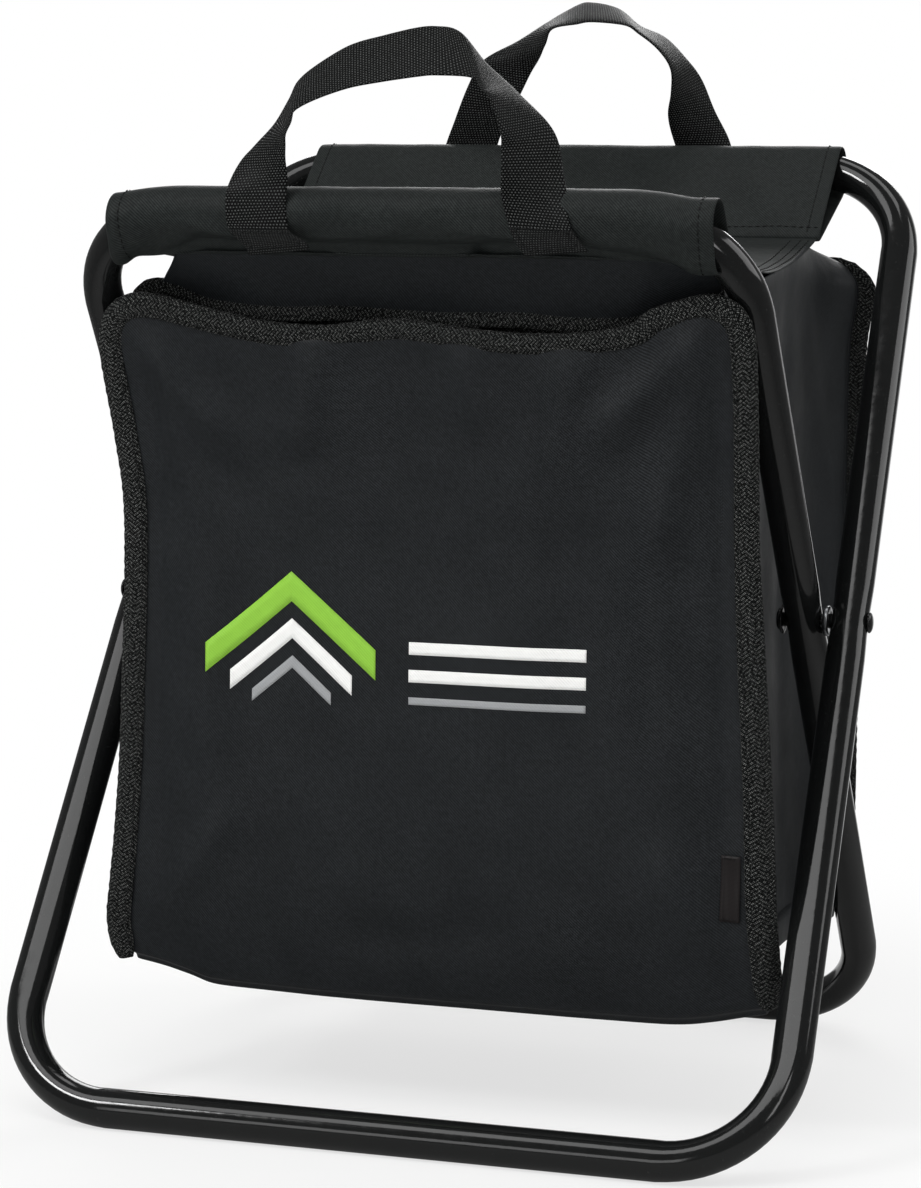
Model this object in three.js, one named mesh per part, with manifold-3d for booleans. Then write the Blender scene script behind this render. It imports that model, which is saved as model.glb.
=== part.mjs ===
// Folding cooler stool: an insulated bag sewn under a fabric seat that hangs between two crossing tube hoops.
// Millimetres. X is the width, -Y the front, +Z up. The floor is z = 0 and the pivot line lies over y = 0.

import * as THREE from 'three';
import { mergeVertices } from 'three/addons/utils/BufferGeometryUtils.js';
import Module from 'manifold-3d';

const wasm = await Module();
wasm.setup();

// Driving dimensions: tube frame
const tubeDiameter = 16;
const tubeWall = 1.2;
const pivotHeight = 201;
const footReach = 138;
const outerBarHeight = 386;
const barStep = 22;
const outerHalfTop = 152;
const outerHalfBottom = 160;
const outerCorner = 46;
const innerCorner = 44;
const legGapTop = 3;
const legGapBottom = 2;
const spliceLength = 60;
const buttGap = 0.6;
const pivotShankRadius = 2.3;
const pivotHeadRadius = 6;
const pivotHeadHeight = 3;
const clenchRadius = 4.6;
const clenchHeight = 1.4;
const washerRadius = 7;
const washerThickness = 1;

// Driving dimensions: fabric, bag and seat
const fabricThickness = 1.2;
const paddingThickness = 5;
const linerThickness = 2.5;
const bindingThickness = 2.4;
const bindingWidth = 10;
const frontSleeveInset = 16;
const rearSleeveInset = 30;
const bagClearance = 2;
const bagFrontInset = 25;
const bagBackInset = 12;
const bagBottom = 54;
const bottomRise = 13;
const mouthDrop = 38;
const leanHeight = 111;
const flangeClearance = 4;
const bottomTuck = 7;
const tuckHeight = 46;
const panelCorner = 22;
const flareHeight = 114;
const bottomFlare = 8;
const seatSag = 19;
const seatTipReach = 46;
const seatTipDrop = 30;
const backDrop = 47;
const zipHeight = 8;
const sliderLength = 12;
const pullLength = 18;
const labelWidth = 8;
const labelHeight = 28;

// Driving dimensions: carry handles
const webbingWidth = 25;
const webbingThickness = 1.6;
const frontHandleHalf = 58;
const rearHandleHalf = 55;
const frontHandleRise = 52;
const rearHandleRise = 54;
const tabLength = 22;
const handleFootHeight = 6;
const handleLeanDegrees = 13;
const handleHingeGap = 0.95;

// Clearances and the fold
const seamGap = 0.35;
const runningGap = 0.3;
const sleeveClearance = 0.6;
const foldLimitDegrees = 52;
const overrun = 10;
const weldTolerance = 0.0001;

// Step counts of the curved pieces
const tubeSides = 12;
const cornerSteps = 9;
const faceSteps = 12;
const seatSteps = 10;
const curveSteps = 6;
const wrapSides = 24;
const boreSides = 16;
const discSides = 24;
const rivetSides = 20;
const domeSteps = 5;
const loopSteps = 36;
const bandColumns = 2;

// Sizes worked out from the ones above
const tubeRadius = tubeDiameter / 2;
const tubeFlat = tubeRadius * Math.cos(Math.PI / tubeSides);
const tilt = Math.atan2(footReach, pivotHeight - tubeFlat);
const tiltFolded = tilt - THREE.MathUtils.degToRad(foldLimitDegrees / 2);
const innerBarHeight = outerBarHeight - barStep;
const innerHalfTop = outerHalfTop - tubeDiameter - legGapTop;
const innerHalfBottom = outerHalfBottom - tubeDiameter - legGapBottom;
const downLength = (pivotHeight - tubeFlat) / Math.cos(tilt);
const outerUpLength = (outerBarHeight - pivotHeight) / Math.cos(tilt);
const innerUpLength = (innerBarHeight - pivotHeight) / Math.cos(tilt);
const frontBar = new THREE.Vector2(-innerUpLength * Math.sin(tilt), innerBarHeight);
const rearBar = new THREE.Vector2(outerUpLength * Math.sin(tilt), outerBarHeight);
const boreRadius = pivotShankRadius + runningGap;
const sleeveInner = tubeRadius + sleeveClearance;
const sleeveOuter = sleeveInner + fabricThickness;
const frontSleeveHalf = innerHalfTop - frontSleeveInset;
const rearSleeveHalf = outerHalfTop - rearSleeveInset;
const mouthTop = innerBarHeight - mouthDrop;
const leanStart = mouthTop - leanHeight;
const backTop = outerBarHeight - backDrop;
const bagFront = -frontBar.x - bagFrontInset;
const bagBack = rearBar.x - bagBackInset;
const gussetOuter = Math.min(innerHalfTop, innerHalfBottom) - tubeRadius - bagClearance;
const wallHalf = gussetOuter - paddingThickness - seamGap;
const mouthReach = (mouthTop - pivotHeight) * Math.tan(tilt) + tubeRadius / Math.cos(tilt)
  + flangeClearance + bindingThickness / 2;
const cutReach = Math.max(footReach, mouthReach, rearBar.x) + overrun;

const sides = [['left', -1], ['right', 1]];

// Finishes
function finish(color, roughness, metalness) {
  return new THREE.MeshStandardMaterial({ color, roughness, metalness });
}
const enamel = finish(0x17181a, 0.25, 0.3);
const steel = finish(0x8f9296, 0.35, 1);
const blackRivet = finish(0x1b1c1e, 0.3, 0.6);
const polyester = finish(0x222425, 0.75, 0);
const lining = finish(0x9a9da0, 0.45, 0.2);
const binding = finish(0x1a1b1c, 0.85, 0);
const webbing = finish(0x1d1e1f, 0.8, 0);
const zipBlack = finish(0x141516, 0.5, 0);

// A closed mesh as a solid, for cuts and joins
function toSolid(geometry) {
  const bare = geometry.clone();
  bare.deleteAttribute('normal');
  bare.deleteAttribute('uv');
  const merged = mergeVertices(bare, weldTolerance);
  const vertProperties = Float32Array.from(merged.attributes.position.array);
  const triVerts = Uint32Array.from(merged.index.array);
  return new wasm.Manifold(new wasm.Mesh({ numProp: 3, vertProperties, triVerts }));
}

function toGeometry(solid) {
  const mesh = solid.getMesh();
  const geometry = new THREE.BufferGeometry();
  geometry.setAttribute('position', new THREE.BufferAttribute(Float32Array.from(mesh.vertProperties), 3));
  geometry.setIndex(new THREE.BufferAttribute(Uint32Array.from(mesh.triVerts), 1));
  geometry.computeVertexNormals();
  return geometry;
}

function addPiece(parent, name, geometry, material) {
  const mesh = new THREE.Mesh(geometry, material);
  mesh.name = name;
  parent.add(mesh);
  return mesh;
}

// A side outline in (y, z) drawn out along X
function extrudeAcross(shape, xLow, xHigh) {
  const settings = { depth: xHigh - xLow, bevelEnabled: false, curveSegments: curveSteps };
  const geometry = new THREE.ExtrudeGeometry(shape, settings);
  const turn = new THREE.Matrix4().makeBasis(
    new THREE.Vector3(0, 1, 0), new THREE.Vector3(0, 0, 1), new THREE.Vector3(1, 0, 0));
  geometry.applyMatrix4(turn);
  geometry.translate(xLow, 0, 0);
  return geometry;
}

// A front outline in (x, z) drawn out along Y
function extrudeBack(shape, yLow, yHigh) {
  const settings = { depth: yHigh - yLow, bevelEnabled: false, curveSegments: curveSteps };
  const geometry = new THREE.ExtrudeGeometry(shape, settings);
  const turn = new THREE.Matrix4().makeBasis(
    new THREE.Vector3(1, 0, 0), new THREE.Vector3(0, 0, 1), new THREE.Vector3(0, -1, 0));
  geometry.applyMatrix4(turn);
  geometry.translate(0, yHigh, 0);
  return geometry;
}

// A strip of even thickness centred on a run of points
function strip(points, thickness) {
  const edges = [[], []];
  points.forEach((point, index) => {
    const before = points[Math.max(index - 1, 0)];
    const after = points[Math.min(index + 1, points.length - 1)];
    const along = new THREE.Vector2().subVectors(after, before).normalize();
    const across = new THREE.Vector2(-along.y, along.x).multiplyScalar(thickness / 2);
    edges[0].push(point.clone().add(across));
    edges[1].unshift(point.clone().sub(across));
  });
  return new THREE.Shape([...edges[0], ...edges[1]]);
}

// The outline of a band pulled tight round a set of circles
function wrap(circles) {
  const cloud = [];
  for (const { centre, radius } of circles) {
    for (let step = 0; step < wrapSides; step += 1) {
      const angle = (step / wrapSides) * Math.PI * 2;
      cloud.push(new THREE.Vector2(centre.x + radius * Math.cos(angle), centre.y + radius * Math.sin(angle)));
    }
  }
  cloud.sort((a, b) => a.x - b.x || a.y - b.y);
  const turn = (o, a, b) => (a.x - o.x) * (b.y - o.y) - (a.y - o.y) * (b.x - o.x);
  const chain = (points) => {
    const hull = [];
    for (const point of points) {
      while (hull.length > 1 && turn(hull[hull.length - 2], hull[hull.length - 1], point) <= 0) hull.pop();
      hull.push(point);
    }
    hull.pop();
    return hull;
  };
  return [...chain(cloud), ...chain(cloud.reverse())];
}

// How far the inside of a hoop's corner has dropped below its top bar at a distance from the middle
function cornerDrop(halfAcross, hoopHalf, corner) {
  const past = Math.max(halfAcross - (hoopHalf - corner), 0);
  return corner - tubeRadius - Math.sqrt((corner - tubeRadius) ** 2 - past ** 2);
}

// Stations round a hoop in its own plane, from the middle of the top bar right round to it again
function hoopStations({ halfTop, halfBottom, up, down, corner }) {
  const vertices = [
    new THREE.Vector2(halfTop, up), new THREE.Vector2(halfBottom, -down),
    new THREE.Vector2(-halfBottom, -down), new THREE.Vector2(-halfTop, up),
  ];
  const stations = [{ point: new THREE.Vector2(buttGap / 2, up), out: new THREE.Vector2(0, 1) }];
  vertices.forEach((vertex, index) => {
    const before = vertices[(index + 3) % 4];
    const after = vertices[(index + 1) % 4];
    const back = new THREE.Vector2().subVectors(before, vertex).normalize();
    const ahead = new THREE.Vector2().subVectors(after, vertex).normalize();
    const halfAngle = Math.acos(THREE.MathUtils.clamp(back.dot(ahead), -1, 1)) / 2;
    const inward = new THREE.Vector2().addVectors(back, ahead).normalize();
    const centre = vertex.clone().addScaledVector(inward, corner / Math.sin(halfAngle));
    const first = Math.atan2(-back.x, back.y);
    const sweep = Math.PI - 2 * halfAngle;
    for (let step = 0; step <= cornerSteps; step += 1) {
      const angle = first - (sweep * step) / cornerSteps;
      const out = new THREE.Vector2(Math.cos(angle), Math.sin(angle));
      stations.push({ point: centre.clone().addScaledVector(out, corner), out });
    }
  });
  stations.push({ point: new THREE.Vector2(-buttGap / 2, up), out: new THREE.Vector2(0, 1) });
  return stations;
}

// A hollow tube bent round the stations, with one flat of its section facing the floor
function hoopTube(stations, lean) {
  const last = stations.length - 1;
  const profile = [];
  for (let index = last; index >= 0; index -= 1) profile.push(new THREE.Vector2(tubeRadius, index));
  for (let index = 0; index <= last; index += 1) {
    profile.push(new THREE.Vector2(tubeRadius - tubeWall, index));
  }
  profile.push(profile[0].clone());
  const facingFloor = Math.atan2(Math.cos(tilt), -lean * Math.sin(tilt));
  const geometry = new THREE.LatheGeometry(profile, tubeSides, facingFloor - Math.PI / tubeSides);
  const position = geometry.attributes.position;
  for (let index = 0; index < position.count; index += 1) {
    const { point, out } = stations[Math.round(position.getY(index))];
    const outward = position.getX(index);
    const sideways = position.getZ(index);
    position.setXYZ(index, point.x + out.x * outward, -sideways, point.y + out.y * outward);
  }
  return geometry;
}

function pivotHole(geometry) {
  const reach = (Math.max(outerHalfTop, outerHalfBottom) + tubeDiameter) * 2;
  const drill = new THREE.CylinderGeometry(boreRadius, boreRadius, reach, boreSides);
  drill.rotateZ(Math.PI / 2);
  return toGeometry(toSolid(geometry).subtract(toSolid(drill)));
}

function halfWidthAtPivot(halfTop, halfBottom, up) {
  return halfBottom + ((halfTop - halfBottom) * downLength) / (downLength + up);
}

// How far a slanting leg comes towards a flat disc of some radius that is square to the pivot line
function slant(halfTop, halfBottom, up, radius) {
  return (Math.abs(halfTop - halfBottom) * radius) / (downLength + up);
}

const model = new THREE.Group();

// Outer hoop: floor bar at the front, top bar at the rear
const outerFrame = new THREE.Group();
outerFrame.position.z = pivotHeight;
outerFrame.rotation.x = -tilt;
model.add(outerFrame);
const outerHoop = {
  halfTop: outerHalfTop, halfBottom: outerHalfBottom,
  up: outerUpLength, down: downLength, corner: outerCorner,
};
addPiece(outerFrame, 'outer_frame_tube', pivotHole(hoopTube(hoopStations(outerHoop), 1)), enamel);

// Inner hoop: floor bar at the rear, top bar at the front
const innerFrame = new THREE.Group();
innerFrame.position.z = pivotHeight;
innerFrame.rotation.x = tilt;
model.add(innerFrame);
const innerHoop = {
  halfTop: innerHalfTop, halfBottom: innerHalfBottom,
  up: innerUpLength, down: downLength, corner: innerCorner,
};
addPiece(innerFrame, 'inner_frame_tube', pivotHole(hoopTube(hoopStations(innerHoop), -1)), enamel);

// Splice plugs that close each hoop inside its top bar, under the fabric
function splicePlug() {
  const radius = (tubeRadius - tubeWall - runningGap) * Math.cos(Math.PI / tubeSides);
  const plug = new THREE.CylinderGeometry(radius, radius, spliceLength, tubeSides);
  return plug.rotateZ(Math.PI / 2);
}
addPiece(outerFrame, 'outer_frame_splice', splicePlug(), steel).position.z = outerUpLength;
addPiece(innerFrame, 'inner_frame_splice', splicePlug(), steel).position.z = innerUpLength;

// Pivot rivets, with a spacer between the legs and a washer under the clenched end
const outerPivotHalf = halfWidthAtPivot(outerHalfTop, outerHalfBottom, outerUpLength);
const innerPivotHalf = halfWidthAtPivot(innerHalfTop, innerHalfBottom, innerUpLength);
const headSlant = slant(outerHalfTop, outerHalfBottom, outerUpLength, pivotHeadRadius);
const washerSlant = slant(innerHalfTop, innerHalfBottom, innerUpLength, washerRadius);
const rivetOuterFace = outerPivotHalf + tubeRadius + runningGap + headSlant;
const washerFace = innerPivotHalf - tubeRadius - runningGap - washerSlant;
const clenchFace = washerFace - washerThickness - runningGap;
const spacerThickness = outerPivotHalf - innerPivotHalf - tubeDiameter - 2 * runningGap;

function ringDisc(innerRadius, outerRadius, thickness) {
  const profile = [
    new THREE.Vector2(innerRadius, 0), new THREE.Vector2(outerRadius, 0),
    new THREE.Vector2(outerRadius, thickness), new THREE.Vector2(innerRadius, thickness),
    new THREE.Vector2(innerRadius, 0),
  ];
  return new THREE.LatheGeometry(profile, discSides);
}

function rivetBody() {
  const profile = [new THREE.Vector2(0, clenchFace - clenchHeight)];
  profile.push(new THREE.Vector2(clenchRadius, clenchFace - clenchHeight));
  profile.push(new THREE.Vector2(clenchRadius, clenchFace));
  profile.push(new THREE.Vector2(pivotShankRadius, clenchFace));
  profile.push(new THREE.Vector2(pivotShankRadius, rivetOuterFace));
  for (let step = 0; step <= domeSteps; step += 1) {
    const angle = (step / domeSteps) * (Math.PI / 2);
    const rise = pivotHeadHeight * Math.sin(angle);
    profile.push(new THREE.Vector2(pivotHeadRadius * Math.cos(angle), rivetOuterFace + rise));
  }
  return new THREE.LatheGeometry(profile, rivetSides);
}

for (const [side, sign] of sides) {
  const turn = -sign * (Math.PI / 2);
  const rivet = addPiece(model, `pivot_rivet_${side}`, rivetBody(), blackRivet);
  rivet.rotation.z = turn;
  rivet.position.z = pivotHeight;
  const spacerShape = ringDisc(boreRadius, washerRadius, spacerThickness);
  const spacer = addPiece(model, `pivot_spacer_${side}`, spacerShape, steel);
  spacer.rotation.z = turn;
  spacer.position.set(sign * (innerPivotHalf + tubeRadius + runningGap), 0, pivotHeight);
  const washerShape = ringDisc(boreRadius, washerRadius, washerThickness);
  const washer = addPiece(model, `pivot_washer_${side}`, washerShape, steel);
  washer.rotation.z = turn;
  washer.position.set(sign * (washerFace - washerThickness), 0, pivotHeight);
}

// Fabric sleeves round the top bars. Each also holds its hoop's corners, at rest and folded
function sleeveCircles(bar, lean, drop, radius) {
  return [0, tilt, tiltFolded].map((angle, index) => {
    const reach = index === 0 ? 0 : drop;
    const centre = new THREE.Vector2(bar.x + lean * reach * Math.sin(angle), bar.y - reach * Math.cos(angle));
    return { centre, radius };
  });
}

function sleeve(outerCircles, innerCircles, half) {
  const shape = new THREE.Shape(wrap(outerCircles));
  shape.holes.push(new THREE.Path(wrap(innerCircles)));
  return extrudeAcross(shape, -half, half);
}

const frontDrop = cornerDrop(frontSleeveHalf, innerHalfTop, innerCorner);
const rearDrop = cornerDrop(rearSleeveHalf, outerHalfTop, outerCorner);
const frontOuterCircles = sleeveCircles(frontBar, 1, frontDrop, sleeveOuter);
const frontInnerCircles = sleeveCircles(frontBar, 1, frontDrop, sleeveInner);
addPiece(model, 'front_sleeve', sleeve(frontOuterCircles, frontInnerCircles, frontSleeveHalf), polyester);

const seatTip = new THREE.Vector2(rearBar.x - seatTipReach, rearBar.y - seatTipDrop);
const tipCircle = (radius) => ({ centre: seatTip, radius });
const tipOuter = tipCircle(fabricThickness + seamGap);
const rearOuterCircles = [...sleeveCircles(rearBar, -1, rearDrop, sleeveOuter), tipOuter];
const rearInnerCircles = [...sleeveCircles(rearBar, -1, rearDrop, sleeveInner), tipCircle(seamGap)];
addPiece(model, 'rear_sleeve', sleeve(rearOuterCircles, rearInnerCircles, rearSleeveHalf), polyester);

// Seat, sewn between the two sleeves and sagging a little
const frontSeam = frontOuterCircles[2].centre.clone().add(new THREE.Vector2(0, -sleeveOuter));
const seatStart = frontOuterCircles[1].centre.clone().add(new THREE.Vector2(
  sleeveOuter * Math.cos(tilt) + seamGap + fabricThickness, -sleeveOuter * Math.sin(tilt)));
const seatEnd = seatTip.clone().add(new THREE.Vector2(-(fabricThickness + 2 * seamGap), -fabricThickness));
const seatRun = [];
for (let step = 0; step <= seatSteps; step += 1) {
  const share = step / seatSteps;
  const point = seatStart.clone().lerp(seatEnd, share);
  point.y -= seatSag * share * (1 - share);
  seatRun.push(point);
}
const seatHalf = gussetOuter - bagClearance;
const seatFrontHalf = innerHalfTop - innerCorner + tubeRadius;
const seatOutline = new THREE.Shape([
  new THREE.Vector2(-seatFrontHalf, -cutReach), new THREE.Vector2(seatFrontHalf, -cutReach),
  new THREE.Vector2(seatFrontHalf, seatStart.x), new THREE.Vector2(seatHalf, seatStart.x + tubeDiameter),
  new THREE.Vector2(seatHalf, cutReach), new THREE.Vector2(-seatHalf, cutReach),
  new THREE.Vector2(-seatHalf, seatStart.x + tubeDiameter), new THREE.Vector2(-seatFrontHalf, seatStart.x),
]);
const seatCutter = new THREE.ExtrudeGeometry(seatOutline, { depth: outerBarHeight, bevelEnabled: false });
const seatSlab = extrudeAcross(strip(seatRun, fabricThickness), -seatHalf - overrun, seatHalf + overrun);
addPiece(model, 'seat_panel', toGeometry(toSolid(seatSlab).intersect(toSolid(seatCutter))), polyester);
const seatUnder = (y) => {
  const share = THREE.MathUtils.clamp((y - seatStart.x) / (seatEnd.x - seatStart.x), 0, 1);
  return seatStart.y + (seatEnd.y - seatStart.y) * share - seatSag * share * (1 - share) - fabricThickness;
};

// Front face of the bag: tucked in at the bottom, leaning out at the pocket's mouth past the hoop's legs
function frontFace(z, lean) {
  const tuckShare = Math.max(1 - (z - bagBottom) / tuckHeight, 0);
  const leanShare = Math.max((z - leanStart) / leanHeight, 0);
  return -(bagFront - bottomTuck * tuckShare ** 2 + lean * leanShare ** 2);
}
const mouthLean = mouthReach - bagFront;
const pocketFace = (z) => frontFace(z, mouthLean);
const behindBinding = (bindingThickness + fabricThickness) / 2 + runningGap;
const wallFace = (z) => frontFace(z, 0) + behindBinding;

// Width of the bag's front: even above, flaring towards the bottom
function flangeHalf(z) {
  const flareShare = Math.max(1 - (z - bagBottom) / flareHeight, 0);
  return gussetOuter + bindingWidth - fabricThickness + bottomFlare * flareShare;
}

// An outline in (x, z) between two heights, with the flare and rounded bottom corners
function frontOutline(inset, low, high, corner) {
  const right = [];
  const bottomHalf = flangeHalf(low) - inset;
  for (let step = 0; step <= curveSteps; step += 1) {
    const angle = (step / curveSteps - 1) * (Math.PI / 2);
    const across = bottomHalf - corner + corner * Math.cos(angle);
    right.push(new THREE.Vector2(across, low + corner + corner * Math.sin(angle)));
  }
  const heightShares = [0.3, 0.65, 1];
  for (const share of heightShares) {
    const z = low + corner + (flareHeight - corner) * share;
    right.push(new THREE.Vector2(flangeHalf(z) - inset, z));
  }
  right.push(new THREE.Vector2(flangeHalf(high) - inset, high));
  const left = right.map((point) => new THREE.Vector2(-point.x, point.y)).reverse();
  return new THREE.Shape([...right, ...left]);
}

// A panel of even thickness that follows a face, cut to an outline
function facedPanel(outline, face, thickness, low, high) {
  const heights = [];
  for (let step = 0; step <= faceSteps; step += 1) {
    heights.push(THREE.MathUtils.lerp(low - overrun, high + overrun, step / faceSteps));
  }
  const outer = heights.map((z) => new THREE.Vector2(face(z), z));
  const inner = heights.map((z) => new THREE.Vector2(face(z) + thickness, z));
  const side = new THREE.Shape([...inner, ...outer.reverse()]);
  const slab = extrudeAcross(side, -outerHalfBottom, outerHalfBottom);
  const cutter = extrudeBack(outline, -cutReach, cutReach);
  return toGeometry(toSolid(slab).intersect(toSolid(cutter)));
}

const bandLow = mouthTop - bindingWidth;
const bandFace = (z) => pocketFace(z) - (bindingThickness - fabricThickness) / 2;
const bindingInset = bindingWidth + seamGap;
const hollowCorner = panelCorner - bindingWidth;
const pocketOutline = frontOutline(bindingInset, bagBottom + bindingInset, bandLow - seamGap, hollowCorner);
addPiece(model, 'pocket_panel',
  facedPanel(pocketOutline, pocketFace, fabricThickness, bagBottom, mouthTop), polyester);

// Binding round the front's sides and bottom, and the band along the pocket's mouth
const edgeOutline = frontOutline(0, bagBottom, bandLow - seamGap, panelCorner);
const edgeSolid = toSolid(facedPanel(edgeOutline, bandFace, bindingThickness, bagBottom, mouthTop));
const edgeHollow = frontOutline(bindingWidth, bagBottom + bindingWidth, mouthTop, hollowCorner);
const edgeCut = toSolid(extrudeBack(edgeHollow, -cutReach, cutReach));
addPiece(model, 'front_binding', toGeometry(edgeSolid.subtract(edgeCut)), binding);

const bandOutline = new THREE.Shape();
const bandHalf = flangeHalf(mouthTop);
const bandRound = bindingWidth / 2;
bandOutline.moveTo(-bandHalf, bandLow);
bandOutline.lineTo(bandHalf, bandLow);
bandOutline.absarc(bandHalf - bandRound, mouthTop - bandRound, bandRound, 0, Math.PI / 2, false);
bandOutline.absarc(bandRound - bandHalf, mouthTop - bandRound, bandRound, Math.PI / 2, Math.PI, false);
const bandShape = facedPanel(bandOutline, bandFace, bindingThickness, bandLow, mouthTop);
addPiece(model, 'pocket_binding', bandShape, binding);

// Insulated front wall behind the pocket, then the zip, its upper band and the panel up to the sleeve
function blockOutline(half, low, high, corner) {
  const shape = new THREE.Shape();
  shape.moveTo(-half + corner, low);
  shape.lineTo(half - corner, low);
  shape.absarc(half - corner, low + corner, corner, -Math.PI / 2, 0, false);
  shape.lineTo(half, high);
  shape.lineTo(-half, high);
  shape.lineTo(-half, low + corner);
  shape.absarc(-half + corner, low + corner, corner, Math.PI, Math.PI * 1.5, false);
  return shape;
}
const wallTop = mouthTop - zipHeight - 2 * seamGap;
const wallOutline = blockOutline(wallHalf, bagBottom + fabricThickness, wallTop, paddingThickness);
const wallSlab = facedPanel(wallOutline, wallFace, paddingThickness, bagBottom, mouthTop);
addPiece(model, 'front_panel', wallSlab, polyester);

const zipHalf = wallHalf - bindingWidth;
const zipTapeThickness = 2;
const zipLow = wallTop + seamGap;
const zipMiddle = zipLow + zipHeight / 2;
const zipCentre = wallFace(mouthTop);
const zipFace = zipCentre - zipTapeThickness / 2;
const zipTape = new THREE.BoxGeometry(zipHalf * 2, zipTapeThickness, zipHeight);
addPiece(model, 'zip_tape', zipTape, zipBlack).position.set(0, zipCentre, zipMiddle);

const sliderThickness = 2.8;
const sliderX = zipHalf - sliderLength;
const sliderFace = zipFace - runningGap - sliderThickness;
const slider = new THREE.BoxGeometry(sliderLength, sliderThickness, zipHeight - seamGap);
const sliderY = sliderFace + sliderThickness / 2;
addPiece(model, 'zip_slider', slider, zipBlack).position.set(sliderX, sliderY, zipMiddle);

const pullThickness = 1.1;
const pullShape = new THREE.Shape();
const pullHalfShare = 0.3;
const pullHalf = zipHeight * pullHalfShare;
pullShape.moveTo(0, -pullHalf);
pullShape.lineTo(0, pullHalf);
pullShape.absarc(-pullLength + pullHalf, 0, pullHalf, Math.PI / 2, Math.PI * 1.5, false);
const pullEye = new THREE.Path();
pullEye.absarc(-pullLength + pullHalf, 0, pullHalf / 2, 0, Math.PI * 2, true);
pullShape.holes.push(pullEye);
const pullBody = extrudeBack(pullShape, -pullThickness / 2, pullThickness / 2);
const pull = addPiece(model, 'zip_pull', pullBody, zipBlack);
pull.position.set(sliderX + sliderLength / 2, sliderFace - runningGap - pullThickness / 2, zipMiddle);

const upperBandLow = zipLow + zipHeight + seamGap;
const upperBandShare = 0.7;
const upperBandHeight = bindingWidth * upperBandShare;
const upperBandHigh = upperBandLow + upperBandHeight;
const upperBand = new THREE.BoxGeometry(2 * zipHalf, bindingThickness, upperBandHeight);
const upperBandMiddle = upperBandLow + upperBandHeight / 2;
addPiece(model, 'upper_binding', upperBand, binding).position.set(0, zipCentre, upperBandMiddle);

const upperRun = [
  new THREE.Vector2(zipCentre, upperBandHigh + seamGap + fabricThickness / 2),
  new THREE.Vector2(frontSeam.x, frontSeam.y - seamGap - fabricThickness / 2),
];
const upperBody = extrudeAcross(strip(upperRun, fabricThickness), -zipHalf, zipHalf);
addPiece(model, 'front_upper_panel', upperBody, polyester);

// Blank woven label beside the right-hand binding
const labelLow = bagBottom + tuckHeight;
const labelX = flangeHalf(labelLow + labelHeight) - bindingWidth - labelWidth;
const label = new THREE.BoxGeometry(labelWidth, fabricThickness / 2, labelHeight);
const labelMiddle = labelLow + labelHeight / 2;
const labelY = pocketFace(labelMiddle) - runningGap - fabricThickness / 2;
addPiece(model, 'side_label', label, binding).position.set(labelX, labelY, labelMiddle);

// Back wall, its binding and the short slope up to the rear sleeve
const backLow = bagBottom + bottomRise;
const backOutline = blockOutline(wallHalf, backLow, backTop, paddingThickness);
const backWall = extrudeBack(backOutline, bagBack - paddingThickness, bagBack);
addPiece(model, 'back_panel', backWall, polyester);
const ringLow = backLow - bindingWidth / 2;
const ringOutline = blockOutline(gussetOuter + bindingWidth, ringLow, backTop, panelCorner);
const hollowOutline = blockOutline(gussetOuter, ringLow + bindingWidth, backTop - bindingWidth, hollowCorner);
const ringFront = bagBack + seamGap;
const backRing = toSolid(extrudeBack(ringOutline, ringFront, ringFront + bindingThickness));
const backHollow = toSolid(extrudeBack(hollowOutline, bagBack - overrun, bagBack + overrun));
addPiece(model, 'back_binding', toGeometry(backRing.subtract(backHollow)), binding);

const slopeRun = [
  new THREE.Vector2(bagBack - paddingThickness / 2, backTop + seamGap + fabricThickness / 2),
  new THREE.Vector2(seatTip.x + fabricThickness, seatTip.y - 2 * fabricThickness - 3 * seamGap),
];
const slope = extrudeAcross(strip(slopeRun, fabricThickness), -wallHalf, wallHalf);
addPiece(model, 'rear_upper_panel', slope, polyester);

// Bottom and side gussets
const gussetBack = bagBack - seamGap;
const bottomStart = wallFace(bagBottom) + paddingThickness + seamGap;
const bottomEnd = bagBack - paddingThickness - 2 * seamGap;
const bottomLow = bagBottom + fabricThickness + paddingThickness / 2;
const bottomRun = [
  new THREE.Vector2(bottomStart, bottomLow),
  new THREE.Vector2((bottomStart + bottomEnd) / 2, bottomLow + bottomRise / 2),
  new THREE.Vector2(bottomEnd, bottomLow + bottomRise),
];
const bottomSlab = extrudeAcross(strip(bottomRun, paddingThickness), -wallHalf, wallHalf);
addPiece(model, 'bottom_panel', bottomSlab, polyester);

const gussetOutline = [];
for (let step = 0; step <= faceSteps; step += 1) {
  const z = THREE.MathUtils.lerp(bagBottom + fabricThickness, bandLow, step / faceSteps);
  gussetOutline.push(new THREE.Vector2(pocketFace(z) + behindBinding + seamGap, z));
}
gussetOutline.push(new THREE.Vector2(seatStart.x + bindingThickness, mouthTop + seamGap));
const topShares = [0.08, 0.2, 0.35, 0.5, 0.65, 0.8, 0.98];
for (const share of topShares) {
  const y = THREE.MathUtils.lerp(seatStart.x, seatEnd.x, share);
  gussetOutline.push(new THREE.Vector2(y, seatUnder(y) - seamGap));
}
gussetOutline.push(new THREE.Vector2(gussetBack, backTop - seamGap));
gussetOutline.push(new THREE.Vector2(gussetBack, backLow));
const bottomMiddleShare = 0.8;
gussetOutline.push(new THREE.Vector2(0, bagBottom + bottomRise * bottomMiddleShare));
gussetOutline.reverse();
const gussetThickness = gussetOuter - wallHalf - seamGap;
for (const [side, sign] of sides) {
  const low = sign > 0 ? wallHalf + seamGap : -gussetOuter;
  const gusset = extrudeAcross(new THREE.Shape(gussetOutline), low, low + gussetThickness);
  addPiece(model, `gusset_${side}`, gusset, polyester);
}

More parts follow.
